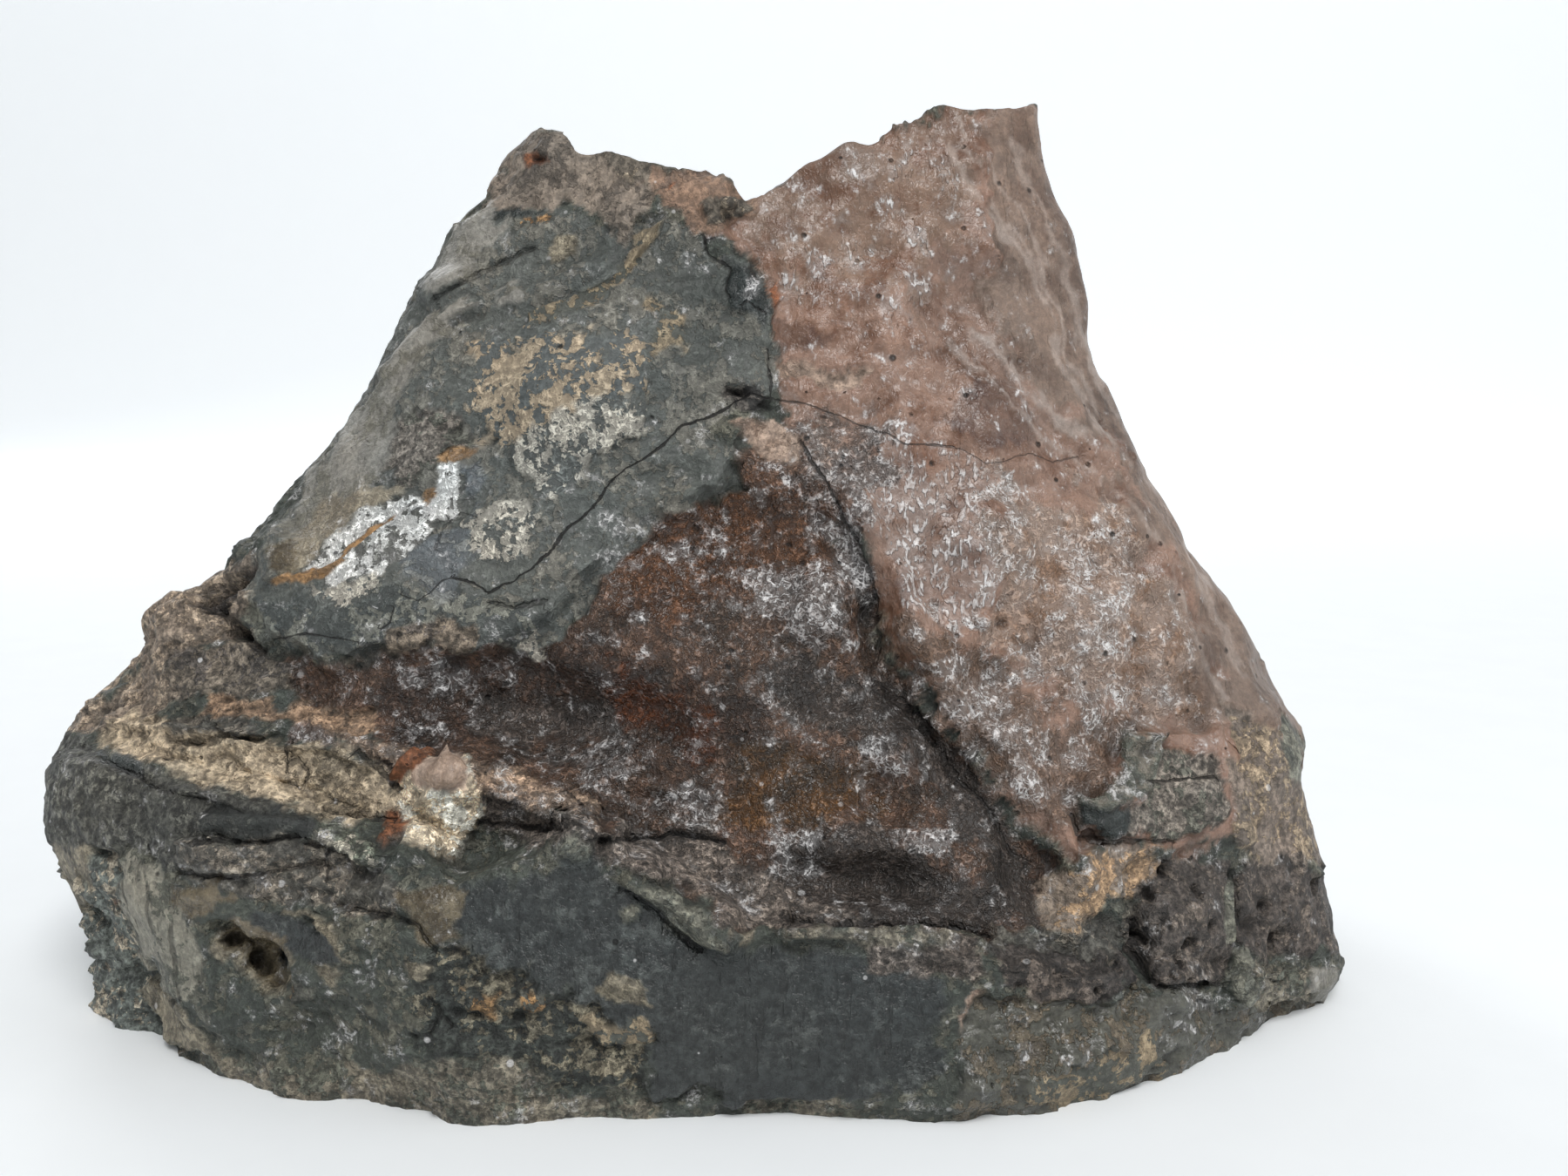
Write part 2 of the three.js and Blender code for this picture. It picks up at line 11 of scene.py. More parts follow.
import bpy
import numpy as np
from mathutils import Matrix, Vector


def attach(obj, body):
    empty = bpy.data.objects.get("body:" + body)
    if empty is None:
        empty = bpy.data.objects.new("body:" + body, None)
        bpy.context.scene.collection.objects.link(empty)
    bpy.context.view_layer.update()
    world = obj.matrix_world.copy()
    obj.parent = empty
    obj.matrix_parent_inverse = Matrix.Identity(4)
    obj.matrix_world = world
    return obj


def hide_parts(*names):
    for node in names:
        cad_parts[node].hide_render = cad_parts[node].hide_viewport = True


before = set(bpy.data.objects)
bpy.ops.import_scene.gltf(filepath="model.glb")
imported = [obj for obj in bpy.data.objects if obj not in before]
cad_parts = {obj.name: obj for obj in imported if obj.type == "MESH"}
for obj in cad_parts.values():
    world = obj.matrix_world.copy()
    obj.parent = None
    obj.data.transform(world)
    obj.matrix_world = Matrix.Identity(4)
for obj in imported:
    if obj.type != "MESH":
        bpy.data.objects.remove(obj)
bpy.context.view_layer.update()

# ------------------------------------------------------------------ driving sizes, in millimetres

NODE = "amethyst_cluster"
MILLIMETRE = 0.001
CENTRING = (-1.543, -1.672)  # from the profiles' frame to the row frame

HEIGHT = 98.5
LIMB_Y_BASE = -8
LIMB_Y_TOP = 4

# Left and right edges seen from the front: (height, x).
LEFT_EDGE = [
    (0, -69.4), (4, -67.4), (7, -68.2), (11, -69.2), (15, -70.8), (20, -72.4), (25, -72.2), (28.5, -70.8),
    (33, -66), (37.5, -61.8), (45, -54.6), (52, -46.8), (56, -43), (62, -38.2), (69, -34.8), (76, -30.2),
    (79, -28.4), (84, -25.6), (87.5, -21.4), (91, -19.6), (95, -16.8), (100, -15.5),
]
RIGHT_EDGE = [
    (0, 74), (3, 75), (6, 74), (12, 72.6), (20, 71), (27, 70.9), (31, 68.3), (35, 65.8), (40, 63.2),
    (42, 61.9), (49, 57), (57, 52.5), (64, 49.5), (71.5, 46), (78, 44.7), (85, 43), (95, 40.7), (100, 40),
]

# Heights along the width: (share of the width, height).
FRONT_RIM = [
    (0, 91.6), (0.03, 94.6), (0.09, 94.2), (0.14, 91.6), (0.21, 90.6), (0.33, 89.6), (0.37, 90.6),
    (0.45, 87.2), (0.48, 87.8), (0.55, 91.2), (0.6, 92), (0.68, 94.6), (0.76, 97.2), (0.85, 97.6),
    (0.93, 98.2), (1, 96.9),
]
BACK_RIM = [
    (0, 91.6), (0.12, 91), (0.25, 88), (0.4, 86), (0.52, 86), (0.65, 90), (0.8, 94), (0.92, 96), (1, 96.9),
]
LEDGE = [
    (0, 26.5), (0.08, 28.8), (0.19, 27.6), (0.29, 24.8), (0.33, 24.6), (0.37, 21.6), (0.445, 24.6),
    (0.47, 25), (0.5, 21), (0.545, 17.2), (0.63, 17.2), (0.71, 15.2), (0.8, 11.2), (0.87, 8.4), (0.95, 6.5),
    (1, 6),
]
LEDGE_RISE = 0.9

# How far the middle of each side stands out from the limb: (height, distance).
BAND_REACH = [(0, 33.2), (2, 34), (5, 34.4), (12, 34.4), (20, 33.2), (30, 30.6)]
FACE_REACH = [
    (4, 32), (12, 30.4), (20, 27.6), (27, 24.6), (36, 21.6), (45, 19.4), (62, 15), (78, 11), (92, 7.6),
    (99, 6.8),
]
BACK_REACH = [(0, 40.5), (3, 41.5), (20, 39), (45, 30.5), (70, 20), (92, 11.5), (99, 10)]

# Plan of the foot's front edge: (share of the width, share of the reach).
FOOT_PLAN = [
    (0, 0), (0.03, 0.28), (0.08, 0.44), (0.14, 0.66), (0.2, 0.8), (0.29, 0.91), (0.34, 0.98), (0.4, 0.98),
    (0.46, 0.98), (0.52, 0.95), (0.6, 0.98), (0.68, 1), (0.72, 0.97), (0.77, 0.88), (0.82, 0.75),
    (0.87, 0.59), (0.91, 0.52), (0.95, 0.39), (0.98, 0.25), (1, 0),
]
FOOT_FADE = 45
FRONT_SQUARENESS = 2.3
BACK_SQUARENESS = 3

# Rows of the surface: the foot band, one step of ledge, then the face up to the rim.
BAND_ROWS = 7
FACE_ROWS = 25
TOP_ROW = BAND_ROWS + 1 + FACE_ROWS

RIND_ROUGHNESS = [(13, 2.6), (6, 1.5)]
WALL_ROUGHNESS = [(17, 4.6), (7, 2.4)]
EDGE_ROUGHNESS = (4, 1.2)
RIM_CHIPS = (3.6, 2)
RIM_ROWS = 1.5  # the chips reach this many rows down
CAP_SWELL = 0.4

# Fineness of the scene's own mesh.
FRONT_COLUMNS = 440
BACK_COLUMNS = FRONT_COLUMNS // 2
BAND_LINES = 82
LEDGE_LINES = 10
FACE_LINES = 214
CAP_LINES = 26
BASE_LINES = 14
PLAN_STEPS = 2001
PLAN_HALF_WIDTH = 60
PLAN_REACH = 25
BACK_PLAN_REACH = 32
SEAM_REACH = 8  # over this distance from the seams, the hidden side takes its own roughness
SEAM_FADE = 1.5
LAYER_WANDER = 0.9
CAP_BREAK = 0.8
BASE_DEPTH = 60

# Noise: size in millimetres, octaves, share that each next octave keeps, seed.
SKIN_STRAY = [(5, 3, 0.6, seed) for seed in (11, 23)]
CAP_NOISE = (6, 4, 0.6, 31)
BORDER_WANDER = (3.2, 4, 0.7, 41)
LAYER_STRAY = (5, 4, 0.6, 53)
BUMP_NOISE = (2.6, 4, 0.6, 61)
PLATE_NOISE = (6, 4, 0.6, 67)
PICTURE_STRAY = [(3.4, 3, 0.55, seed) for seed in (71, 83, 97)]
SWELL_NOISE = (6.5, 3, 0.55, 89)
CRUMB_NOISE = (2.6, 3, 0.6, 101)

# Fine relief and marks.
PLATE_STRETCH = (0.4, 1, 1.1)
PLATE_STEP = 0.6
PLATE_SHARPNESS = 0.8
GRAIN_CELLS = (1.5, 3)  # size in millimetres, seed
HOLE_CELLS = (2.6, 8)
HOLE_DEPTH = 1.4
HOLE_RADIUS = (0.16, 0.5)  # smallest and largest, in cells
OUTLINE_STRAY = 0.75  # how far the minerals' borders stray, in millimetres
LINE_STRAY = 0.2
BORDER_FADE = 0.8
EDGE_REACH = 5  # over this distance from the broken edges they crumble, in millimetres
CRUMB_HEIGHT = 0.15
CALM_EDGE = 0.35  # share of the fine relief that is left along the edges
CRACK_SLOPE = 3  # pixels
CRACK_NEAR = 9
CAVITY_REACH = 4  # vertices
CAVITY_DEPTH = 0.55

# Rounded lumps and hollows of the form: x, z, radius across, radius up, height, turn in degrees.
LUMPS = [
    (-13.5, 92, 5, 3.5, 1, 0),
    (-25, 77.4, 7, 2.4, 1.5, 5),
    (-11.5, 78, 10.5, 2, 1.5, 24),
    (-10, 67, 15, 10, 1.8, 0),
    (-1.5, 57.5, 6, 2.2, -1.2, 10),
    (-41.5, 48.8, 3.6, 3.6, 2.4, 0),
    (-30, 58, 7, 9, 1.2, -35),
    (-12, 35.5, 16, 5, -3.4, -8),
    (-3, 46, 9, 6, 1.4, 0),
    (-58, 38, 9, 6, 1, 35),
    (-42, 29.5, 15, 3, 1.2, -4),
    (-22, 28, 5.5, 4.6, 3, 0),
    (-8.2, 24.6, 3.4, 1.8, 1.4, 10),
    (-38.8, 12.7, 3.6, 2.8, -4.5, -25),
    (-42.8, 15, 2.6, 2, -3, -25),
    (-49, 13, 7, 9, 1, -25),
    (14, 45.2, 5, 4, 1.5, 0),
    (22.6, 31.7, 5, 4, 1.6, 0),
    (24.5, 24.2, 5, 3.6, 1.5, 0),
    (15.7, 37.6, 4.6, 4, -1.8, 0),
    (20, 27.4, 5, 3.4, -1.6, 0),
    (19.8, 20.6, 9, 2.6, -2.2, -5),
    (33, 51, 8, 7, 1.4, 0),
    (43, 43, 7, 6, 1.5, 0),
    (38, 33, 8, 6, 1.7, 0),
    (52, 40, 5.5, 7, 1, 20),
    (27, 59, 5, 4, -1, 0),
    (20, 75, 6, 5, 1.2, 0),
    (31, 84, 6, 6, 1.2, 0),
    (34, 68, 6, 6, 1, 0),
    (22, 90, 5, 4, 0.9, 0),
    (52, 13.6, 5.6, 6.6, 2.2, 0),
    (66, 14, 4.6, 5.6, 1.2, 0),
    (64.5, 9.3, 2.6, 2.6, -2.4, 0),
    (59.6, 7.2, 2.6, 3.6, 1.8, -15),
]

# Long creases (negative) and crests (positive): line of (x, z), half width, height.
CREASES = [
    ([(11.8, 57.5), (16.2, 52.8), (19.3, 47.3), (21, 42)], 2.2, -1),
    ([(21, 44), (21.4, 41), (25.4, 35), (31.4, 27.8), (37.2, 18.5)], 3.8, -2.2),
    ([(19, 55.8), (23, 47), (24.4, 42), (29, 35.2), (35, 28), (40, 20)], 3.4, 1.8),
    ([(-43, 34), (-33, 32.6), (-26, 30.6), (-18, 29), (-11, 27.2), (-5.5, 25.6)], 3.2, 1.6),
    ([(-2.2, 22.4), (2, 20), (6, 17)], 2.4, 1.5),
    ([(12, 17.6), (22, 17.6), (31, 15.4)], 2.2, 1.2),
    ([(45, 8), (46.4, 13), (46, 19)], 2, -1.6),
]

# Raised skins with an edge of their own: outline of (x, z), edge width, height. Here the edges are crisper
# than in the CAD solid.
SKINS = [
    (
        [
            (-40, 100), (2, 92), (7.6, 81), (10, 76.8), (10.4, 66), (6, 60), (5, 55.8), (-1.2, 54.5),
            (-6.5, 50), (-10, 46), (-10.8, 43.4), (-18.8, 41.6), (-26, 41), (-33.4, 38.8), (-42, 41.5),
            (-47, 47), (-70, 55),
        ],
        1.1,
        2.2,
    ),
    ([(46.5, 33), (58, 31.5), (60, 20), (50, 19.5), (40.5, 22.5), (41.5, 26.5), (47, 28.5)], 0.9, 1.8),
]
SKIN_WANDER = 1.2  # how far those edges stray

# Crystal bed, as in the CAD solid.
BED_MARGIN = 6
BED_DEPTH = 4
BED_SLOPE = 6
CRYSTAL_SPACING = 10.8
CRYSTAL_RADIUS = (5.9, 2.9)
CRYSTAL_JITTER = 3
CRYSTAL_ROOT = 9
CRYSTAL_LEAN = 0.34
TIP_SLOPE = 1.12
PRISM_SHARE = (0.1, 0.5)
LOWEST_CRYSTAL = 5
EDGE_CRYSTAL_REACH = 12
EDGE_GAP = 3
FACE_ANGLE = math.radians(38.2)  # of a tip face's normal, above the horizontal
HALF_SPAN = 100
SMALL_SPACING = 4.4
SMALL_JITTER = 2.4
SMALL_RADIUS = (1.3, 2.2)
SAWN_LEVEL = 0

# The meshes that make up the stone, and the sides of it that each one has.
STONE_PIECES = {
    "rind_face": ["face"],
    "rind_foot": ["foot"],
    "hidden_side": ["wall", "cap", "base"],
}

# Tones in linear light.
GLINT_TONE = (0.78, 0.765, 0.76, 1)
# Near-black tone of the painted shade in pits, cracks, rills and hollows and between the glints.
SHADE_TONE = (0.012, 0.011, 0.01, 1)
COOL_TINT = (0.86, 0.88, 0.88, 1)
WARM_TINT = (1.14, 1.1, 1.05, 1)
PALE_QUARTZ = (0.86, 0.8, 0.92, 1)
VIOLET_QUARTZ = (0.4, 0.13, 0.7, 1)
DEEP_VIOLET = (0.5, 0.22, 0.85, 1)
CLOTH_TONE = (0.86, 0.885, 0.9, 1)
CLOTH_GLOW = (0.95, 0.98, 1, 1)
SKY_TONE = (0.94, 0.97, 1, 1)
SKY_STRENGTH = 0.34

# Stage, in metres: name, place, what it points at, size, power, colour.
LIGHTS = [
    ("ceiling", (0.1, 0, 1.2), (0, 0, 0.05), (1.6, 1.2), 1.5, (0.97, 0.985, 1)),
    ("window", (0.12, -0.55, 0.88), (0, 0, 0.05), (0.5, 0.42), 7, (1, 0.995, 0.985)),
    ("right_window", (1.2, -0.3, 0.7), (0, 0, 0.05), (0.8, 0.8), 3, (1, 0.99, 0.98)),
    ("back_window", (-0.5, 0.7, 0.6), (0, 0, 0.05), (0.3, 0.3), 1.6, (1, 0.995, 0.985)),
]
SWEEP_FRONT = 1.5
SWEEP_BACK = 0.9
SWEEP_RADIUS = 0.6
SWEEP_HEIGHT = 2.4
SWEEP_WIDTH = 2.5
SWEEP_LINES = 25

# ------------------------------------------------------------------ camera

IMAGE_SIZE = (1800, 1350)
LENS = 32  # millimetres, on a sensor 36 mm wide
SENSOR = 36
CLIP = (0.01, 20)  # nearest and furthest, in metres
PITCH_DOWN = math.radians(9.23)
CAMERA_PLACE = (11.3, -160.8, 70)  # in the profiles' frame


def to_row_frame(points):
    """Points of the profiles' frame in the row frame, in metres."""
    return (np.asarray(points, float) + (*CENTRING, 0)) * MILLIMETRE


def picture_place(points):
    """Where points of the profiles' frame show in the picture: u to the right and v down, in pixels."""
    across, away, up = np.moveaxis(points - CAMERA_PLACE, -1, 0)
    cosine, sine = math.cos(PITCH_DOWN), math.sin(PITCH_DOWN)
    depth = away * cosine - up * sine
    rise = away * sine + up * cosine
    focal = LENS / SENSOR * IMAGE_SIZE[0]
    return IMAGE_SIZE[0] / 2 + focal * across / depth, IMAGE_SIZE[1] / 2 - focal * rise / depth


# ------------------------------------------------------------------ small tools


def mix(start, end, share):
    return start + (end - start) * share


def smooth(value):
    value = np.clip(value, 0, 1)
    return value * value * (3 - 2 * value)


def straight(points, position):
    """Straight lines through a list of (position, value)."""
    return np.interp(position, *np.array(points, float).T)


def flowing(points, position):
    """A smooth curve through the same kind of list."""
    xs, ys = np.array(points, float).T
    last = len(xs) - 1
    before = np.maximum(np.arange(last + 1) - 1, 0)
    after = np.minimum(np.arange(last + 1) + 1, last)
    slope = (ys[after] - ys[before]) / (xs[after] - xs[before])
    i = np.clip(np.searchsorted(xs[1:], position), 0, last - 1)
    width = xs[i + 1] - xs[i]
    t = np.clip((position - xs[i]) / width, 0, 1)
    ease = t * (1 - t) * width
    return mix(ys[i], ys[i + 1], smooth(t)) + ease * ((1 - t) * slope[i] - t * slope[i + 1])


def scatter(i, j, k):
    """The same number from 0 to 1 for the same three whole numbers."""
    wave = np.sin(i * 127.1 + j * 311.7 + k * 74.7) * 43758.5453
    return wave - np.floor(wave)


def noise(points, wavelength):
    """Smooth lattice noise from -0.5 to 0.5."""
    at = points / wavelength
    cell = np.floor(at)
    share = smooth(at - cell)
    total = 0
    for corner in range(8):
        step = np.array([corner & 1, (corner >> 1) & 1, corner >> 2])
        weight = np.prod(np.where(step, share, 1 - share), axis=-1)
        total = total + weight * scatter(*np.moveaxis(cell + step, -1, 0))
    return total - 0.5


def roughness(points, layers):
    return sum(amplitude * noise(points, wavelength) for wavelength, amplitude in layers)


TURN = np.array([[0.36, 0.48, -0.8], [-0.8, 0.6, 0], [0.48, 0.64, 0.6]])  # hides the lattice's own grain


def fractal(points, wavelength, octaves, gain, seed):
    """Noise of several sizes, about -1 to 1."""
    at = points + seed
    total, weight, size = 0, 1, wavelength
    for _ in range(octaves):
        at = at @ TURN.T
        total = total + 2 * weight * noise(at, size)
        weight, size = weight * gain, size / 2
    return total


def cells(points, size, seed):
    """Distance to the nearest scattered seed point, in cells, and a number from 0 to 1 of that seed."""
    at = points / size + seed
    home = np.floor(at)
    nearest = np.full(points.shape[:-1], 9.0)
    number = np.zeros(points.shape[:-1])
    for corner in range(27):
        cell = home + (corner % 3 - 1, corner // 3 % 3 - 1, corner // 9 - 1)
        i, j, k = np.moveaxis(cell, -1, 0)
        seeds = np.stack([scatter(i, j, k + 0.3 + axis) for axis in range(3)], axis=-1)
        distance = np.linalg.norm(cell + seeds - at, axis=-1)
        number = np.where(distance < nearest, scatter(j, k, i + 7), number)
        nearest = np.minimum(nearest, distance)
    return nearest, number


def terraces(height, step, sharpness):
    """The same height cut into steps."""
    level = height / step
    floor = np.floor(level)
    return step * (floor + smooth((level - floor - sharpness) / (1 - sharpness)))


def line_distance(line, x, z):
    """Distance to a line of points, negative on its left where the nearest point isn't an end."""
    nearest = np.full(np.shape(x), np.inf)
    side = np.ones(np.shape(x))
    for start, end in zip(line[:-1], line[1:]):
        dx, dz = end[0] - start[0], end[1] - start[1]
        along = ((x - start[0]) * dx + (z - start[1]) * dz) / (dx * dx + dz * dz)
        clipped = np.clip(along, 0, 1)
        distance = np.hypot(x - start[0] - clipped * dx, z - start[1] - clipped * dz)
        left = (x - start[0]) * dz - (z - start[1]) * dx < 0
        beyond_end = ((start == line[0]) & (along < 0)) | ((end == line[-1]) & (along > 1))
        here = np.where(left & ~beyond_end, -1.0, 1.0)
        side = np.where(distance < nearest, here, side)
        nearest = np.minimum(nearest, distance)
    return nearest * side


def depth_inside(outline, x, z):
    """How far inside a closed outline each place is, negative outside."""
    inside = np.zeros(np.shape(x), bool)
    for (ax, az), (bx, bz) in zip(outline, outline[1:] + outline[:1]):
        if az != bz:
            inside ^= ((az > z) != (bz > z)) & (x < ax + (z - az) / (bz - az) * (bx - ax))
    distance = np.abs(line_distance(outline + outline[:1], x, z))
    return np.where(inside, distance, -distance)


# ------------------------------------------------------------------ the form that the CAD solid has too

SHORT_STEP = 0.01  # share of the width
LUMP_FALLOFF = 1.5


def limb_y(z):
    return mix(LIMB_Y_BASE, LIMB_Y_TOP, z / HEIGHT)


def plan_curve(share, squareness):
    off = np.abs(2 * share - 1) ** squareness
    return np.maximum(0, 1 - off) ** (1 / squareness)


def across_width(share, z):
    return mix(straight(LEFT_EDGE, z), straight(RIGHT_EDGE, z), share)


def rind_point(share, row):
    """Rind point: share of the width, and height in rows."""
    ledge = straight(LEDGE, share)

    def on_profile(z, reach_curve):
        smooth_plan = plan_curve(share, FRONT_SQUARENESS)
        plan = mix(straight(FOOT_PLAN, share), smooth_plan, np.clip(z / FOOT_FADE, 0, 1))
        return np.stack([across_width(share, z), limb_y(z) - flowing(reach_curve, z) * plan, z], axis=-1)

    up = np.clip((row - BAND_ROWS - 1) / FACE_ROWS, 0, 1)
    band = on_profile(ledge * np.minimum(row, BAND_ROWS) / BAND_ROWS, BAND_REACH)
    face = on_profile(mix(ledge + LEDGE_RISE, straight(FRONT_RIM, share), up), FACE_REACH)
    return mix(band, face, np.clip(row - BAND_ROWS, 0, 1)[..., None])


def from_ends(x, z):
    """Distance on the hidden side to the stone's left or right edge."""
    return np.minimum(x - straight(LEFT_EDGE, z), straight(RIGHT_EDGE, z) - x)


def clearance(x, z, share):
    """Distance on the hidden side to the nearest edge of the stone."""
    return np.minimum(from_ends(x, z), straight(BACK_RIM, share) - z)


def bed_point(share, row):
    """Hidden-side point on the same rows, with the crystal bed sunk into it."""
    left_z, right_z = (rind_point(np.full_like(share, end), row)[..., 2] for end in (0, 1))
    rim = straight(BACK_RIM, share)
    z = rim * mix(left_z, right_z, share) / mix(BACK_RIM[0][1], BACK_RIM[-1][1], share)
    x = across_width(share, z)
    sink = BED_DEPTH * smooth((clearance(x, z, share) - BED_MARGIN) / BED_SLOPE)
    reach = flowing(BACK_REACH, z) * plan_curve(share, BACK_SQUARENESS)
    return np.stack([x, limb_y(z) + reach - sink, z], axis=-1)


def facing(surface, share, row, outward):
    """Direction that a surface faces, from two short steps along it."""
    here = np.clip(share, SHORT_STEP, 1 - SHORT_STEP)
    low = np.maximum(0, row - 0.5)
    across = surface(here + SHORT_STEP, row) - surface(here - SHORT_STEP, row)
    up = surface(here, low + 1) - surface(here, low)
    normal = np.cross(across, up)
    return outward * normal / np.linalg.norm(normal, axis=-1, keepdims=True)


def lump_height(lump, x, z):
    centre_x, centre_z, radius_x, radius_z, height, turn = lump
    cosine, sine = math.cos(math.radians(turn)), math.sin(math.radians(turn))
    across = ((x - centre_x) * cosine + (z - centre_z) * sine) / radius_x
    up = ((z - centre_z) * cosine - (x - centre_x) * sine) / radius_z
    return height * np.maximum(0, 1 - across**2 - up**2) ** LUMP_FALLOFF


def rind_relief(points):
    x, z = points[..., 0], points[..., 2]
    height = sum(lump_height(lump, x, z) for lump in LUMPS)
    for line, half_width, rise in CREASES:
        height = height + rise * smooth(1 - np.abs(line_distance(line, x, z)) / half_width)
    stray_x, stray_z = (
        place + SKIN_WANDER * fractal(points, *stray) for place, stray in zip((x, z), SKIN_STRAY)
    )
    for outline, edge, rise in SKINS:
        height = height + rise * smooth(0.5 + depth_inside(outline, stray_x, stray_z) / edge / 2)
    return height


def chipped(moved, points, row):
    """Chips along the broken top edge; the lowest row stays on the ground."""
    at_rim = smooth(1 - (TOP_ROW - row) / RIM_ROWS)
    moved[..., 2] += at_rim * RIM_CHIPS[1] * noise(points, RIM_CHIPS[0])
    moved[..., 2] *= row > 0
    return moved


def rough_rind(share, row):
    points = rind_point(share, row)
    openness = np.sqrt(plan_curve(share, 2))
    height = rind_relief(points) * openness + roughness(points, RIND_ROUGHNESS)
    moved = points + height[..., None] * facing(rind_point, share, row, 1)
    edge_wave, edge_height = EDGE_ROUGHNESS
    moved[..., 0] += edge_height * noise(points, edge_wave) * (1 - openness) * np.sign(share - 0.5)
    return chipped(moved, points, row)


def rough_bed(share, row):
    points = bed_point(share, row)
    height = roughness(points, WALL_ROUGHNESS)
    return chipped(points + height[..., None] * facing(bed_point, share, row, -1), points, row)


# ------------------------------------------------------------------ minerals


def linear(tone):
    """Display red, green and blue, 0 to 255, as linear light."""
    share = np.array(tone, float) / 255
    return np.where(share <= 0.04045, share / 12.92, ((share + 0.055) / 1.055) ** 2.4)


def mineral(tone, second, *habits, **finish):
    """A mineral's two tones, how it shines and how rough its surface is.

    cover: share of the surface that the second tone takes, in patches. crisp: how ragged and sharp-edged
    those patches are. frost: share under small painted glints. rough: gloss, 0 to 1. grain: depth of
    the fine threads. grit: depth of the sandy grain. streak: depth of upright rills. bumps, plates, grains
    and holes: relief in mm. swell: height in mm of rounded bumps. pits: how many small pits there are.
    """
    values = dict(
        cover=0.4, crisp=0.2, frost=0.0, rough=0.55, grain=0.2, grit=0.2, streak=0.0, bumps=0.1, swell=0.0,
        plates=0.0, grains=0.0, holes=0.0, pits=0.05,
    )
    for habit in (*habits, finish):
        values.update(habit)
    return dict(tone=linear(tone), second=linear(second), **values)


# How a surface feels, apart from its tones.
WET_SKIN = dict(rough=0.26, grain=1, grit=0.35, swell=0.9, pits=0.45)
SATIN = dict(crisp=0.0, rough=0.28, grain=0.16, grit=0.0, bumps=0.1, swell=1.1, pits=0.35)
CLAY = dict(crisp=0.8, grain=0.35, grit=0.25, plates=0.3)
DUST = dict(crisp=1, rough=0.7, grain=0.3, grit=0.25)
GRAVEL = dict(crisp=1, rough=0.6, grit=1, bumps=0.45, grains=0.5)
LAYERED = dict(crisp=1, grit=0.7, bumps=0.25, plates=0.7)
SUGARY = dict(crisp=1, rough=0.25, grain=0.9, grit=0.8, bumps=0.5, grains=0.5)

BROWN = mineral((95, 74, 62), (64, 52, 44), WET_SKIN, frost=0.2)
WARM_BROWN = mineral((90, 62, 44), (60, 42, 31), WET_SKIN, frost=0.2)
# The next two are the stone's own dark tones, laid also as painted shade under the slab and in the groove.
DARK_BROWN_IN_SHADE = mineral((66, 51, 43), (46, 37, 32), WET_SKIN, frost=0.14)
BLACKISH_IN_SHADE = mineral((71, 64, 60), (52, 47, 44), WET_SKIN, frost=0.14)
RUST = mineral((78, 43, 23), (54, 34, 22), WET_SKIN, frost=0.1)
OLIVE_BROWN = mineral((88, 63, 40), (58, 46, 35), WET_SKIN, frost=0.18)
TAUPE = mineral((108, 92, 84), (122, 106, 97), WET_SKIN, frost=0.34, rough=0.35)
MAUVE = mineral((142, 115, 101), (108, 78, 62), SATIN, frost=0.18)
PALE_MAUVE = mineral((128, 106, 92), (107, 78, 62), SATIN, frost=0.18, streak=0.15)
WARM_MAUVE = mineral((158, 138, 126), (130, 103, 84), SATIN, frost=0.3, grain=0.7, pits=0.4)
LOW_MAUVE = mineral((120, 100, 88), (92, 72, 58), SATIN, frost=0.3, grain=0.8, pits=0.4)
PALE_VEIN = mineral((164, 150, 142), (146, 131, 122), SATIN, rough=0.4, swell=0.5)
REDDISH = mineral((106, 82, 70), (85, 61, 52), SATIN, frost=0.16)
FLANK = mineral((126, 107, 95), (100, 81, 70), SATIN, frost=0.04, rough=0.42, grit=0.1, streak=0.4, swell=0.5)
TAN_CRUST = mineral((166, 146, 132), (134, 115, 102), crisp=0.7, rough=0.7, grit=0.4)
PEAK_TAN = mineral((132, 121, 110), (98, 90, 82), crisp=0.8, rough=0.6, grit=0.3, bumps=0.45, streak=0.4)
NOTCH_TAN = mineral((134, 110, 93), (105, 88, 77), crisp=0.7, rough=0.6, grit=0.4, bumps=0.3)
CELADONITE = mineral((88, 92, 89), (111, 110, 103), CLAY, frost=0.1)
DARK_SLAB = mineral((73, 77, 74), (98, 98, 92), CLAY, frost=0.06)
SLAB_GREY = mineral((73, 78, 77), (114, 116, 109), CLAY, crisp=1, frost=0.1, grain=0.6)
GREEN_BLACK = mineral(
    (38, 44, 43), (54, 60, 60), crisp=0.5, frost=0.06, rough=0.3, grain=0.4, grit=0.3, bumps=0.2,
)
TAN_DUST = mineral((88, 93, 93), (166, 151, 130), DUST, cover=0.54)
PALE_DUST = mineral((98, 102, 100), (178, 174, 164), DUST, cover=0.6, rough=0.6, grain=0.9)
TAN_STREAK = mineral((86, 88, 82), (138, 125, 104), DUST, cover=0.52)
SMOOTH_PALE = mineral((132, 130, 124), (110, 108, 99), crisp=0.6, rough=0.42, grit=0.2, streak=0.3)
OLIVE_TAN = mineral((146, 138, 122), (120, 112, 97), crisp=0.6, frost=0.12, rough=0.35, grain=0.5)
WHITE_CRUST = mineral((116, 117, 113), (226, 227, 226), DUST, cover=0.7, frost=0.3, rough=0.35, grain=1)
BLUE_GREY = mineral((88, 94, 98), (114, 118, 118), CLAY, crisp=0.9, frost=0.06, plates=0, rough=0.45)
ORANGE_VEIN = mineral((164, 128, 88), (132, 104, 74), crisp=0.8, rough=0.4, grit=0.3)
AMBER = mineral((106, 97, 80), (78, 69, 54), crisp=0.5, frost=0.08, rough=0.2, grit=0.25)
# Black painted into pits and a crevice as painted shade, over holes in the relief.
PIT_IN_SHADE = mineral((46, 45, 44), (88, 84, 80), crisp=1, rough=0.8, grit=0.9, bumps=0.5, holes=0.6)
CHIPS = mineral((94, 88, 80), (130, 120, 106), GRAVEL, grit=0.7, rough=0.8)
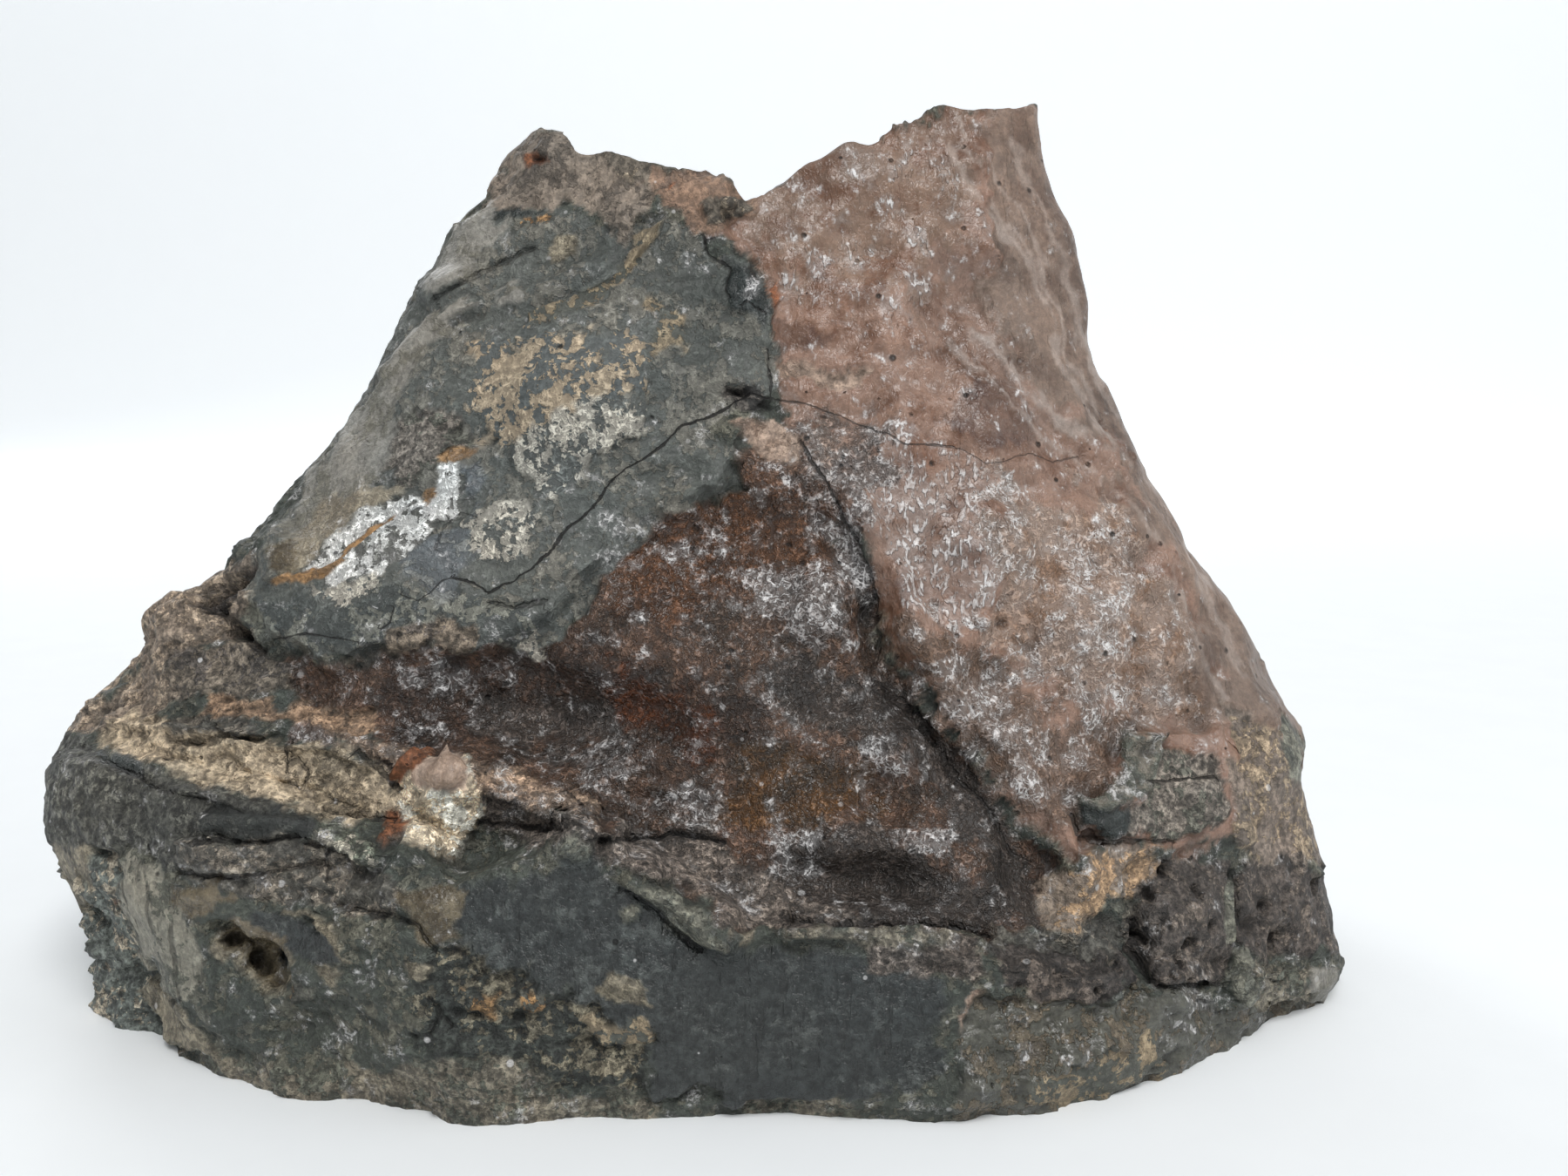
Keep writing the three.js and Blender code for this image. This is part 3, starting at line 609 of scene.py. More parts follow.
RUST_SPOT = mineral((132, 84, 56), (98, 65, 48), crisp=0.9, rough=0.6, grit=0.5, bumps=0.2)
STREAKED = mineral((128, 116, 104), (160, 144, 127), LAYERED, streak=0.6)
ROCKY_BROWN = mineral((120, 110, 98), (86, 80, 75), GRAVEL)
ORANGE_LIP = mineral((160, 132, 108), (116, 97, 81), LAYERED)
SHALE = mineral((88, 86, 80), (124, 117, 107), LAYERED, frost=0.14, plates=1)
BLACK_SHALE = mineral((44, 47, 45), (64, 66, 63), LAYERED, grit=0.4, streak=0.3, bumps=0.12)
PINK_LIP = mineral((140, 120, 104), (164, 140, 120), crisp=0.9, frost=0.3, grain=0.9, grit=0.6, bumps=0.25)
SPECKLED = mineral(
    (116, 107, 100), (80, 73, 68), crisp=1, frost=0.2, grain=0.8, grit=0.9, bumps=0.3, pits=0.6,
)
SANDY = mineral((178, 163, 141), (132, 120, 102), GRAVEL, grit=0.6, plates=0.4)
SUGAR = mineral((248, 228, 200), (255, 250, 236), SUGARY, grit=0.5)
FACET = mineral((192, 167, 150), (168, 144, 127), crisp=0.4, rough=0.25, grit=0.2, bumps=0.05)
BASALT = mineral((72, 72, 67), (98, 98, 91), GRAVEL, frost=0.08, bumps=0.3, grains=0.3, holes=0.3, pits=0.6)
GREEN_FLECKS = mineral((104, 108, 96), (184, 178, 163), GRAVEL, frost=0.25, grain=0.7, bumps=0.3)
FOOT_DARK = mineral((100, 106, 102), (160, 152, 137), LAYERED, cover=0.34, rough=0.6, grit=0.9)
TAN_FACE = mineral((134, 131, 119), (95, 96, 86), cover=0.3, crisp=1, grit=0.3, streak=1, bumps=0.12)
OLIVE_BAND = mineral(
    (67, 72, 66), (92, 92, 82), crisp=0.9, frost=0.14, grain=0.4, grit=0.35, bumps=0.18, plates=0.4,
)
SLATE = mineral(
    (46, 50, 50), (68, 72, 71), cover=0.3, crisp=0.5, rough=0.28, grit=0.45, streak=0.45, pits=0.15,
)
RUBBLE = mineral((58, 62, 58), (108, 103, 89), GRAVEL, cover=0.36, plates=0.5)
OCHRE = mineral((80, 80, 73), (140, 110, 76), GRAVEL, cover=0.38, bumps=0.3, grains=0.2)
TAN_STONE = mineral((132, 125, 109), (104, 98, 84), crisp=0.9, rough=0.6, grain=0.3, grit=0.5)
GREEN_STONE = mineral((119, 119, 108), (92, 94, 87), crisp=0.9, grain=0.3, grit=0.6)
FOOT_BROWN = mineral((121, 115, 102), (86, 88, 79), LAYERED, frost=0.12, grain=0.4, plates=0.4)
PURPLE_BROWN = mineral((62, 57, 54), (88, 80, 74), GRAVEL, grains=0.2, holes=0.6, pits=1)
OLIVE_GLOSS = mineral(
    (78, 78, 71), (100, 92, 79), crisp=0.9, frost=0.08, rough=0.16, grain=0.1, grit=0.3, bumps=0.25,
    swell=1.2, plates=0.3,
)
ORANGE_TAN = mineral((134, 120, 107), (168, 140, 111), crisp=0.8, rough=0.5, frost=0.1, grit=0.5, bumps=0.3)
OLIVE_CURL = mineral((90, 93, 85), (113, 109, 100), crisp=0.6, frost=0.3, rough=0.24, grain=0.4, grit=0.3)
ROUGH_GREY = mineral((128, 121, 113), (92, 92, 84), GRAVEL, grain=0.4, grains=0.2, plates=0.3)
RIGHT_EDGE_MIX = mineral((122, 111, 102), (152, 136, 116), crisp=0.9, rough=0.6, grit=0.55, bumps=0.3)
VESICULAR = mineral((74, 68, 64), (96, 88, 81), GRAVEL, frost=0.1, bumps=0.3, grains=0.1, holes=1.5, pits=1)
AGATE = mineral((150, 148, 150), (128, 126, 130), rough=0.3, bumps=0.08)
WHITE_QUARTZ = mineral((206, 200, 198), (186, 178, 184), rough=0.3, grit=0.5, bumps=0.2, grains=0.4)
LILAC_BED = mineral((150, 120, 176), (112, 80, 146), crisp=0.4, rough=0.3, grain=0, bumps=0.2, grains=0.6)

# From the rind inwards, on the sides that the picture doesn't show: start and fade in mm, mineral.
SECTION = [
    (0, 1, BASALT),
    (2.2, 0.5, AGATE),
    (4.4, 0.4, WHITE_QUARTZ),
    (6.6, 1.2, LILAC_BED),
]

# Where each mineral lies on the photographed side: mineral, softness of its border, outline. Pixels.
AREAS = [
    # right face
    (MAUVE, 14, [
        (905, 190), (1000, 145), (1200, 105), (1262, 300), (1290, 480), (1400, 650), (1500, 800), (1515, 960),
        (1330, 985), (1215, 985), (1165, 950), (1120, 870), (1060, 800), (1010, 740), (1000, 680), (975, 600),
        (930, 540), (905, 500), (885, 455), (893, 385), (862, 301), (807, 262), (850, 205),
    ]),
    (PALE_MAUVE, 40, [
        (890, 190), (1000, 140), (1140, 105), (1130, 240), (1080, 320), (930, 340), (860, 290),
    ]),
    (WARM_MAUVE, 30, [
        (1150, 560), (1300, 600), (1380, 700), (1400, 830), (1300, 850), (1200, 780), (1130, 740),
        (1130, 640),
    ]),
    (LOW_MAUVE, 34, [
        (1000, 700), (1100, 730), (1200, 780), (1310, 840), (1290, 900), (1240, 960), (1160, 940),
        (1110, 870), (1060, 800), (1010, 740),
    ]),
    (FLANK, 20, [
        (1120, 110), (1210, 100), (1270, 300), (1310, 470), (1450, 690), (1510, 850), (1520, 960),
        (1440, 940), (1400, 820), (1381, 731), (1362, 676), (1307, 591), (1274, 517), (1218, 469),
        (1152, 402), (1130, 250),
    ]),
    (REDDISH, 8, [(888, 352), (925, 368), (960, 380), (950, 398), (905, 394), (890, 390)]),
    (REDDISH, 14, [(1105, 440), (1160, 430), (1190, 460), (1180, 505), (1120, 505), (1100, 480)]),
    (TAN_CRUST, 8, [(888, 418), (950, 425), (1004, 420), (1000, 437), (940, 440), (892, 436)]),
    (TAUPE, 30, [(900, 480), (1000, 500), (1040, 540), (1000, 600), (960, 560), (905, 530)]),
    # brown hollow in the middle
    (BROWN, 12, [
        (400, 765), (440, 741), (501, 732), (571, 741), (614, 753), (660, 717), (700, 640), (760, 590),
        (830, 578), (850, 560), (845, 520), (880, 522), (918, 520), (950, 560), (980, 620), (1000, 680),
        (1010, 735), (1050, 800), (1110, 870), (1160, 950), (1215, 985), (1210, 1040), (1180, 1075),
        (1131, 1090), (1040, 1070), (950, 1070), (850, 1078), (780, 1010), (700, 950), (640, 925), (560, 905),
        (470, 870), (400, 830), (330, 800), (300, 770), (330, 750),
    ]),
    (WARM_BROWN, 25, [
        (720, 590), (850, 560), (960, 560), (980, 620), (960, 660), (870, 660), (760, 720), (700, 700),
        (700, 640),
    ]),
    # dark brown with painted shade under the slab; blackish with painted shade in the hollow and along the
    # groove
    (DARK_BROWN_IN_SHADE, 25, [
        (440, 760), (520, 760), (660, 740), (720, 760), (860, 780), (900, 830), (860, 860), (700, 860),
        (560, 850), (470, 850), (430, 800),
    ]),
    (BLACKISH_IN_SHADE, 22, [(560, 790), (700, 800), (740, 830), (690, 860), (600, 855), (540, 830)]),
    (RUST, 18, [(700, 765), (760, 780), (830, 800), (820, 860), (760, 850), (710, 820)]),
    (BLACKISH_IN_SHADE, 20, [
        (860, 740), (940, 760), (1010, 800), (1060, 830), (1080, 880), (1010, 860), (940, 840), (880, 830),
    ]),
    (OLIVE_BROWN, 20, [(850, 850), (980, 870), (1000, 930), (900, 970), (830, 930)]),
    (BLACKISH_IN_SHADE, 14, [
        (800, 1010), (900, 985), (1000, 945), (1100, 1000), (1180, 1010), (1200, 1060), (1100, 1066),
        (950, 1058), (850, 1056),
    ]),
    (BLACKISH_IN_SHADE, 9, [
        (1005, 778), (1054, 800), (1080, 850), (1110, 890), (1150, 940), (1190, 1010), (1160, 1020),
        (1100, 960), (1066, 900), (1040, 860), (1000, 810),
    ]),
    (BLACKISH_IN_SHADE, 6, [(955, 590), (968, 600), (986, 640), (1003, 690), (1006, 730), (992, 720), (975, 660)]),
    # grey-green slab
    (CELADONITE, 5, [
        (560, 240), (600, 236), (655, 243), (715, 256), (760, 246), (790, 262), (807, 273), (822, 296),
        (862, 301), (884, 334), (893, 365), (897, 389), (884, 405), (889, 440), (890, 458), (845, 462),
        (810, 490), (840, 520), (850, 560), (830, 578), (800, 590), (760, 592), (720, 640), (690, 660),
        (672, 700), (650, 725), (614, 753), (571, 741), (522, 753), (501, 732), (440, 741), (400, 765),
        (330, 745), (300, 732), (270, 690), (285, 660), (310, 620), (380, 500), (420, 430), (470, 340),
        (500, 280),
    ]),
    (DARK_SLAB, 24, [
        (610, 245), (800, 265), (870, 320), (880, 400), (840, 440), (770, 410), (740, 330), (640, 300),
    ]),
    (SLAB_GREY, 14, [
        (300, 735), (270, 690), (300, 690), (380, 690), (480, 680), (560, 690), (640, 700), (600, 745),
        (520, 745), (440, 738), (380, 758),
    ]),
    (PEAK_TAN, 16, [
        (560, 225), (590, 150), (621, 130), (670, 140), (690, 175), (740, 185), (758, 225), (746, 243),
        (715, 256), (654, 243), (618, 237), (572, 234),
    ]),
    (NOTCH_TAN, 12, [
        (738, 188), (790, 180), (862, 205), (866, 240), (830, 262), (800, 262), (770, 250), (746, 243),
    ]),
    (CHIPS, 4, [(682, 172), (700, 170), (740, 184), (745, 205), (700, 200)]),
    (CHIPS, 3, [(798, 236), (815, 226), (850, 220), (862, 235), (850, 250), (815, 252)]),
    # painted shade in the crevice
    (PIT_IN_SHADE, 3, [(804, 266), (829, 267), (828, 274), (806, 274)]),
    (RUST_SPOT, 4, [(608, 172), (625, 172), (630, 185), (612, 187)]),
    (RUST_SPOT, 3, [(764, 204), (777, 206), (776, 215), (765, 214)]),
    (GREEN_BLACK, 5, [(565, 234), (620, 241), (618, 249), (568, 247)]),
    (OCHRE, 8, [(587, 251), (610, 249), (626, 256), (618, 264), (590, 262)]),
    (TAN_STONE, 7, [(635, 272), (660, 270), (655, 290), (635, 302), (628, 290)]),
    (SMOOTH_PALE, 12, [(480, 340), (500, 290), (560, 235), (590, 258), (560, 300), (520, 325)]),
    (SMOOTH_PALE, 10, [(440, 425), (480, 372), (590, 322), (600, 332), (520, 370), (470, 420), (450, 450)]),
    (TAN_STREAK, 6, [
        (600, 360), (650, 340), (712, 305), (760, 252), (768, 262), (722, 318), (690, 345), (610, 370),
    ]),
    (TAN_DUST, 16, [
        (540, 400), (600, 385), (690, 385), (746, 398), (740, 440), (700, 480), (640, 500), (560, 505),
        (540, 470), (550, 430),
    ]),
    (TAN_STREAK, 10, [(745, 350), (785, 360), (780, 400), (750, 410)]),
    (PALE_DUST, 13, [(610, 480), (700, 455), (740, 480), (700, 520), (640, 570), (610, 560), (590, 520)]),
    (ROUGH_GREY, 12, [(425, 500), (520, 462), (540, 500), (505, 540), (450, 545), (420, 530)]),
    (SMOOTH_PALE, 12, [
        (300, 660), (340, 590), (395, 490), (440, 425), (470, 425), (450, 500), (430, 560), (380, 600),
        (330, 640),
    ]),
    (PALE_DUST, 8, [(540, 590), (600, 572), (615, 600), (590, 640), (530, 655), (520, 640)]),
    (BLUE_GREY, 6, [(536, 536), (552, 528), (566, 548), (560, 572), (545, 590), (534, 570)]),
    (BLUE_GREY, 8, [(472, 622), (500, 608), (530, 612), (540, 640), (524, 680), (490, 688), (462, 664)]),
    (OLIVE_TAN, 9, [
        (330, 640), (345, 605), (385, 572), (430, 548), (452, 560), (440, 580), (400, 596), (372, 622),
        (345, 655),
    ]),
    (WHITE_CRUST, 6, [(508, 532), (530, 528), (536, 558), (530, 592), (500, 600), (480, 590), (500, 565)]),
    (WHITE_CRUST, 8, [
        (362, 652), (384, 618), (420, 590), (450, 574), (478, 576), (494, 592), (478, 622), (462, 648),
        (425, 664), (385, 674),
    ]),
    (PALE_DUST, 9, [(350, 680), (395, 668), (430, 674), (420, 700), (370, 704)]),
    (AMBER, 5, [(310, 632), (334, 620), (347, 638), (343, 658), (325, 664), (308, 656)]),
    (ORANGE_VEIN, 2, [
        (306, 664), (322, 672), (344, 671), (368, 660), (398, 643), (408, 628), (430, 616), (456, 598),
        (454, 594), (426, 611), (404, 623), (392, 638), (364, 653), (342, 664), (322, 665),
    ]),
    (ORANGE_VEIN, 4, [(512, 522), (528, 512), (548, 514), (544, 525), (516, 531)]),
    (ORANGE_VEIN, 3, [(485, 566), (500, 562), (506, 572), (492, 578)]),
    (ROCKY_BROWN, 5, [
        (438, 748), (452, 724), (478, 708), (512, 710), (542, 724), (546, 744), (522, 752), (500, 736),
        (470, 740), (452, 760),
    ]),
    (PALE_DUST, 4, [(606, 720), (618, 716), (616, 744), (628, 764), (612, 770), (604, 748)]),
    (GREEN_STONE, 3, [(266, 690), (282, 678), (300, 705), (312, 736), (300, 742)]),
    (GREEN_BLACK, 8, [(835, 310), (862, 303), (888, 345), (893, 388), (870, 385), (842, 350)]),
    (RUST_SPOT, 4, [(884, 318), (898, 335), (893, 352), (884, 340)]),
    # painted shade in the pits
    (PIT_IN_SHADE, 5, [(829, 440), (862, 446), (890, 460), (884, 474), (845, 468), (828, 458)]),
    (TAN_CRUST, 7, [(835, 482), (880, 478), (916, 505), (918, 520), (880, 522), (850, 505)]),
    # ledge and what lies under it
    (PINK_LIP, 9, [
        (320, 808), (400, 826), (470, 862), (560, 884), (640, 904), (700, 935), (690, 950), (640, 936),
        (560, 912), (500, 895), (455, 905), (407, 858), (331, 848),
    ]),
    (SPECKLED, 9, [
        (540, 905), (700, 945), (830, 960), (860, 1000), (1000, 1050), (1000, 1072), (900, 1072), (840, 1070),
        (790, 1010), (690, 985), (640, 970), (560, 945),
    ]),
    (STREAKED, 6, [
        (60, 850), (129, 785), (172, 715), (211, 680), (294, 636), (285, 700), (254, 730), (211, 745),
        (240, 800), (199, 800), (126, 832),
    ]),
    (ROCKY_BROWN, 8, [(193, 741), (285, 735), (300, 745), (330, 760), (330, 800), (240, 805), (190, 795)]),
    # blackish with painted shade in the groove left of the slab
    (BLACKISH_IN_SHADE, 5, [(215, 700), (240, 680), (296, 652), (290, 672), (240, 704)]),
    (ORANGE_LIP, 6, [
        (236, 806), (303, 802), (310, 812), (423, 811), (440, 835), (380, 848), (315, 824), (240, 826),
    ]),
    (SHALE, 4, [(196, 822), (240, 824), (300, 830), (312, 846), (250, 852), (200, 846)]),
    (TAUPE, 8, [(325, 838), (380, 840), (453, 885), (458, 905), (407, 860), (331, 852)]),
    (SANDY, 6, [
        (105, 838), (150, 815), (193, 815), (200, 848), (303, 848), (331, 862), (407, 854), (456, 903),
        (459, 934), (407, 946), (364, 931), (285, 915), (236, 909), (199, 894), (172, 882), (113, 857),
    ]),
    (SUGAR, 5, [
        (455, 900), (480, 872), (535, 875), (547, 900), (550, 940), (520, 975), (470, 975), (452, 940),
    ]),
    (FACET, 3, [(477, 903), (490, 874), (520, 872), (537, 885), (535, 903)]),
    (RUST_SPOT, 4, [(455, 890), (475, 866), (489, 862), (486, 878), (466, 894)]),
    (RUST_SPOT, 6, [(432, 936), (456, 930), (460, 955), (440, 965)]),
    (BASALT, 6, [
        (30, 880), (74, 835), (110, 857), (172, 882), (236, 909), (285, 915), (364, 931), (355, 961),
        (240, 965), (205, 1000), (130, 975), (60, 1010), (30, 940),
    ]),
    (GREEN_BLACK, 7, [(110, 860), (162, 880), (166, 896), (115, 890)]),
    (BLACK_SHALE, 4, [(236, 926), (355, 930), (360, 958), (300, 964), (240, 955)]),
    (GREEN_FLECKS, 7, [(361, 940), (423, 945), (440, 990), (400, 1012), (365, 985)]),
    (SHALE, 7, [
        (205, 964), (364, 964), (450, 1000), (480, 1020), (460, 1050), (400, 1052), (330, 1040), (240, 1020),
        (200, 990),
    ]),
    # foot band
    (OLIVE_BAND, 8, [
        (200, 1240), (225, 1100), (400, 1060), (520, 1040), (650, 990), (760, 1045), (900, 1085),
        (1110, 1100), (1200, 1120), (1310, 1135), (1500, 1110), (1560, 1180), (1300, 1300), (900, 1330),
        (500, 1330),
    ]),
    (FOOT_DARK, 7, [
        (40, 1000), (130, 975), (150, 1060), (172, 1111), (205, 1165), (230, 1215), (150, 1200), (60, 1120),
    ]),
    (TAN_FACE, 5, [
        (129, 980), (187, 992), (199, 1026), (228, 1069), (242, 1099), (230, 1140), (211, 1150), (187, 1138),
        (172, 1111), (147, 1062), (138, 1020),
    ]),
    (TAN_STONE, 5, [(160, 1136), (175, 1130), (215, 1175), (262, 1215), (240, 1222), (192, 1190)]),
    (TAN_STONE, 8, [(62, 965), (92, 980), (98, 1040), (84, 1045), (62, 1000)]),
    (RUST_SPOT, 3, [(128, 1028), (138, 1028), (138, 1038), (130, 1040)]),
    (AMBER, 5, [(196, 1013), (251, 1008), (262, 1035), (215, 1046), (195, 1037)]),
    (TAN_STONE, 6, [
        (244, 1085), (262, 1058), (290, 1058), (332, 1085), (338, 1122), (312, 1137), (276, 1114),
    ]),
    (SLATE, 4, [
        (285, 1052), (315, 1049), (364, 1064), (386, 1089), (395, 1101), (377, 1113), (335, 1104),
        (300, 1072),
    ]),
    (TAN_STONE, 2.5, [
        (310, 1043), (345, 1046), (370, 1058), (384, 1078), (396, 1094), (412, 1108), (404, 1108),
        (386, 1096), (372, 1080), (362, 1064), (340, 1052),
    ]),
    (AMBER, 4, [(250, 1068), (262, 1056), (288, 1064), (322, 1083), (328, 1112), (306, 1124), (276, 1100)]),
    (OCHRE, 5, [(325, 1136), (356, 1134), (361, 1150), (335, 1154)]),
    (TAN_STONE, 5, [(358, 1114), (393, 1118), (395, 1134), (370, 1136)]),
    (SLATE, 10, [
        (522, 1050), (530, 1030), (560, 1012), (650, 986), (690, 980), (720, 1005), (760, 1040), (800, 1085),
        (900, 1085), (980, 1098), (1040, 1116), (1084, 1130), (1092, 1150), (1070, 1180), (1086, 1206),
        (1062, 1250), (980, 1258), (900, 1262), (850, 1270), (800, 1262), (750, 1262), (744, 1210),
        (690, 1170), (620, 1136), (540, 1100),
    ]),
    (AMBER, 6, [(464, 1022), (500, 1015), (529, 1030), (528, 1070), (490, 1078), (466, 1050)]),
    (RUBBLE, 12, [
        (468, 1095), (520, 1090), (600, 1120), (690, 1160), (750, 1200), (740, 1250), (640, 1262),
        (560, 1225), (480, 1195),
    ]),
    (OCHRE, 8, [(526, 1136), (572, 1140), (575, 1173), (535, 1170)]),
    (OCHRE, 8, [(596, 1130), (636, 1135), (632, 1162), (600, 1158)]),
    (TAN_STONE, 3, [(676, 1139), (697, 1115), (737, 1127), (742, 1139), (752, 1152), (709, 1145)]),
    (TAN_STREAK, 7, [(666, 1172), (745, 1174), (749, 1197), (680, 1200)]),
    (GREEN_STONE, 3, [(712, 1042), (722, 1038), (737, 1042), (735, 1060), (714, 1062)]),
    (TAN_STONE, 3, [(468, 1104), (490, 1100), (498, 1112), (484, 1128), (472, 1124)]),
    (GREEN_STONE, 3, [(633, 978), (645, 963), (672, 961), (688, 975), (684, 990), (640, 992)]),
    (GREEN_STONE, 3, [
        (720, 1005), (748, 1012), (790, 1038), (836, 1087), (808, 1088), (764, 1046), (728, 1022),
    ]),
    (FOOT_BROWN, 8, [
        (230, 1212), (300, 1222), (440, 1232), (560, 1215), (624, 1225), (640, 1258), (760, 1278),
        (760, 1330), (400, 1330), (220, 1260),
    ]),
    (FOOT_BROWN, 5, [(855, 1264), (978, 1257), (978, 1300), (850, 1300)]),
    (FOOT_BROWN, 7, [
        (846, 1072), (953, 1066), (1045, 1061), (1131, 1085), (1125, 1096), (1040, 1086), (950, 1081),
        (850, 1084),
    ]),
    (SPECKLED, 6, [(1000, 1088), (1120, 1090), (1130, 1115), (1090, 1132), (1040, 1120), (1005, 1110)]),
    (TAN_CRUST, 3, [(1106, 1142), (1124, 1140), (1122, 1175), (1112, 1180)]),
    (PURPLE_BROWN, 8, [(1137, 1081), (1280, 1070), (1300, 1130), (1250, 1156), (1150, 1130)]),
    (OLIVE_GLOSS, 9, [
        (1124, 1138), (1240, 1158), (1310, 1138), (1410, 1150), (1500, 1120), (1545, 1160), (1400, 1260),
        (1250, 1300), (1110, 1300), (1100, 1200),
    ]),
    (TAN_STREAK, 7, [(1190, 1244), (1330, 1192), (1345, 1232), (1250, 1264), (1180, 1268)]),
    # lower right
    (ORANGE_TAN, 9, [
        (1200, 1010), (1240, 990), (1275, 973), (1330, 966), (1340, 1000), (1290, 1030), (1262, 1060),
        (1215, 1065), (1195, 1040),
    ]),
    (SHALE, 8, [(1140, 1062), (1215, 1068), (1290, 1042), (1310, 1080), (1280, 1090), (1140, 1085)]),
    (RIGHT_EDGE_MIX, 12, [(1410, 820), (1500, 850), (1530, 960), (1530, 1000), (1420, 990), (1410, 920)]),
    (ROUGH_GREY, 7, [
        (1306, 856), (1391, 868), (1406, 900), (1411, 946), (1350, 970), (1300, 962), (1300, 900),
    ]),
    (OLIVE_CURL, 4, [
        (1290, 842), (1314, 834), (1345, 839), (1330, 870), (1316, 900), (1296, 917), (1271, 936),
        (1248, 936), (1230, 913), (1262, 912), (1290, 890),
    ]),
    # painted shadow under the olive curl, in the green-black tone
    (GREEN_BLACK, 5, [(1234, 925), (1262, 938), (1298, 935), (1302, 962), (1268, 972), (1237, 955)]),
    (GREEN_STONE, 4, [(1467, 824), (1498, 850), (1502, 896), (1480, 890)]),
    (VESICULAR, 5, [
        (1300, 1020), (1340, 988), (1410, 984), (1420, 1080), (1415, 1125), (1342, 1139), (1311, 1124),
        (1293, 1084),
    ]),
    (VESICULAR, 6, [(1415, 986), (1500, 980), (1540, 1020), (1545, 1090), (1440, 1100), (1415, 1080)]),
    (GREEN_STONE, 3, [(1403, 1008), (1415, 1010), (1421, 1080), (1410, 1084)]),
    (GREEN_STONE, 3, [(1412, 1090), (1440, 1086), (1450, 1130), (1440, 1160), (1420, 1140)]),
    (FOOT_BROWN, 6, [(1440, 1100), (1504, 1105), (1506, 1150), (1450, 1160)]),
    (SMOOTH_PALE, 4, [(1504, 1109), (1535, 1111), (1530, 1151), (1506, 1150)]),
]

# Where painted glints on the fine pale threads stand thickest: share of the surface, softness, outline.
# Pixels.
GLINT_PATCHES = [
    (0.75, 26, [(967, 520), (1040, 500), (1150, 560), (1165, 640), (1150, 700), (1060, 720), (1000, 640)]),
    (0.66, 20, [(900, 530), (950, 540), (990, 620), (1000, 700), (960, 680), (930, 600)]),
    (0.85, 18, [(870, 665), (950, 670), (986, 710), (975, 750), (930, 745), (880, 700)]),
    (0.66, 16, [(1107, 575), (1160, 575), (1185, 610), (1160, 635), (1115, 620)]),
    (0.66, 18, [(1207, 612), (1280, 612), (1320, 650), (1290, 672), (1220, 660)]),
    (0.66, 18, [(1230, 690), (1265, 680), (1300, 720), (1290, 750), (1240, 745)]),
    (0.6, 24, [(1180, 755), (1320, 760), (1350, 820), (1260, 840), (1180, 800)]),
    (0.6, 24, [(1060, 760), (1140, 780), (1200, 860), (1230, 910), (1170, 920), (1110, 850)]),
    (0.7, 16, [(974, 838), (1040, 845), (1068, 880), (1040, 895), (985, 875)]),
    (0.9, 9, [(1096, 850), (1108, 855), (1130, 888), (1122, 894), (1104, 872)]),
    (0.9, 12, [(1029, 950), (1060, 945), (1085, 965), (1070, 982), (1035, 975)]),
    (0.6, 16, [(760, 905), (800, 895), (835, 915), (820, 950), (770, 950)]),
    (0.55, 18, [(870, 960), (930, 950), (940, 990), (880, 1000)]),
    (0.5, 14, [(455, 762), (600, 765), (595, 790), (470, 790)]),
    (0.6, 12, [(455, 822), (485, 826), (482, 856), (458, 850)]),
    (0.5, 12, [(620, 860), (700, 850), (760, 870), (740, 890), (640, 885)]),
    (0.5, 20, [(700, 600), (730, 600), (790, 640), (760, 660), (700, 640)]),
    (0.7, 6, [(1028, 258), (1060, 256), (1085, 290), (1075, 298), (1040, 285)]),
    (0.7, 7, [(1030, 170), (1046, 165), (1046, 200), (1030, 216), (1016, 200)]),
    (0.6, 8, [(897, 298), (921, 300), (921, 350), (900, 340)]),
    (0.55, 10, [(920, 288), (1000, 280), (995, 305), (930, 312)]),
    (0.5, 10, [(985, 190), (1015, 210), (1040, 240), (1020, 250), (990, 215)]),
    (0.6, 7, [(1076, 180), (1095, 190), (1100, 220), (1080, 215)]),
    (0.6, 7, [(1118, 235), (1136, 235), (1140, 285), (1124, 270)]),
    (0.6, 7, [(1040, 320), (1066, 316), (1066, 342), (1042, 342)]),
    (0.55, 8, [(1010, 340), (1046, 360), (1040, 392), (1016, 372)]),
    (0.6, 5, [(1098, 445), (1112, 438), (1122, 455), (1108, 462)]),
    (0.8, 5, [(1354, 1141), (1400, 1139), (1403, 1160), (1368, 1166)]),
    (0.75, 5, [(1336, 1175), (1370, 1172), (1373, 1188), (1340, 1191)]),
    (0.75, 5, [(1167, 1199), (1195, 1197), (1198, 1215), (1175, 1220)]),
    (0.8, 4, [(1300, 838), (1332, 838), (1330, 850), (1306, 852)]),
    (0.6, 5, [(850, 320), (876, 322), (878, 345), (856, 345)]),
    (0.7, 4, [(280, 1004), (296, 1000), (302, 1016), (288, 1022)]),
    (0.7, 4, [(268, 1092), (280, 1094), (284, 1106), (272, 1104)]),
    (0.8, 4, [(362, 950), (372, 948), (372, 985), (362, 990)]),
]

# Pale veins of the right flank: share, half width, line. Pixels.
VEINS = [
    (0.7, 5, [(1090, 178), (1140, 250), (1178, 298), (1206, 366), (1254, 480), (1295, 534)]),
    (0.6, 3, [(1104, 172), (1162, 262), (1200, 322), (1230, 398), (1268, 476)]),
    (0.6, 4, [(1159, 161), (1200, 236), (1222, 300), (1244, 388), (1292, 480)]),
    (0.7, 5, [(1112, 372), (1150, 408), (1173, 440), (1227, 488), (1284, 522)]),
    (0.55, 3, [(1096, 392), (1136, 424), (1160, 462), (1206, 504), (1262, 540)]),
    (0.55, 3, [(1096, 130), (1128, 190), (1172, 236), (1196, 300)]),
    (0.55, 4, [(1300, 520), (1352, 600), (1392, 690), (1432, 780)]),
    (0.6, 3, [(1284, 560), (1330, 620), (1372, 716), (1404, 800)]),
    (0.45, 4, [(1210, 120), (1232, 200), (1258, 290)]),
]
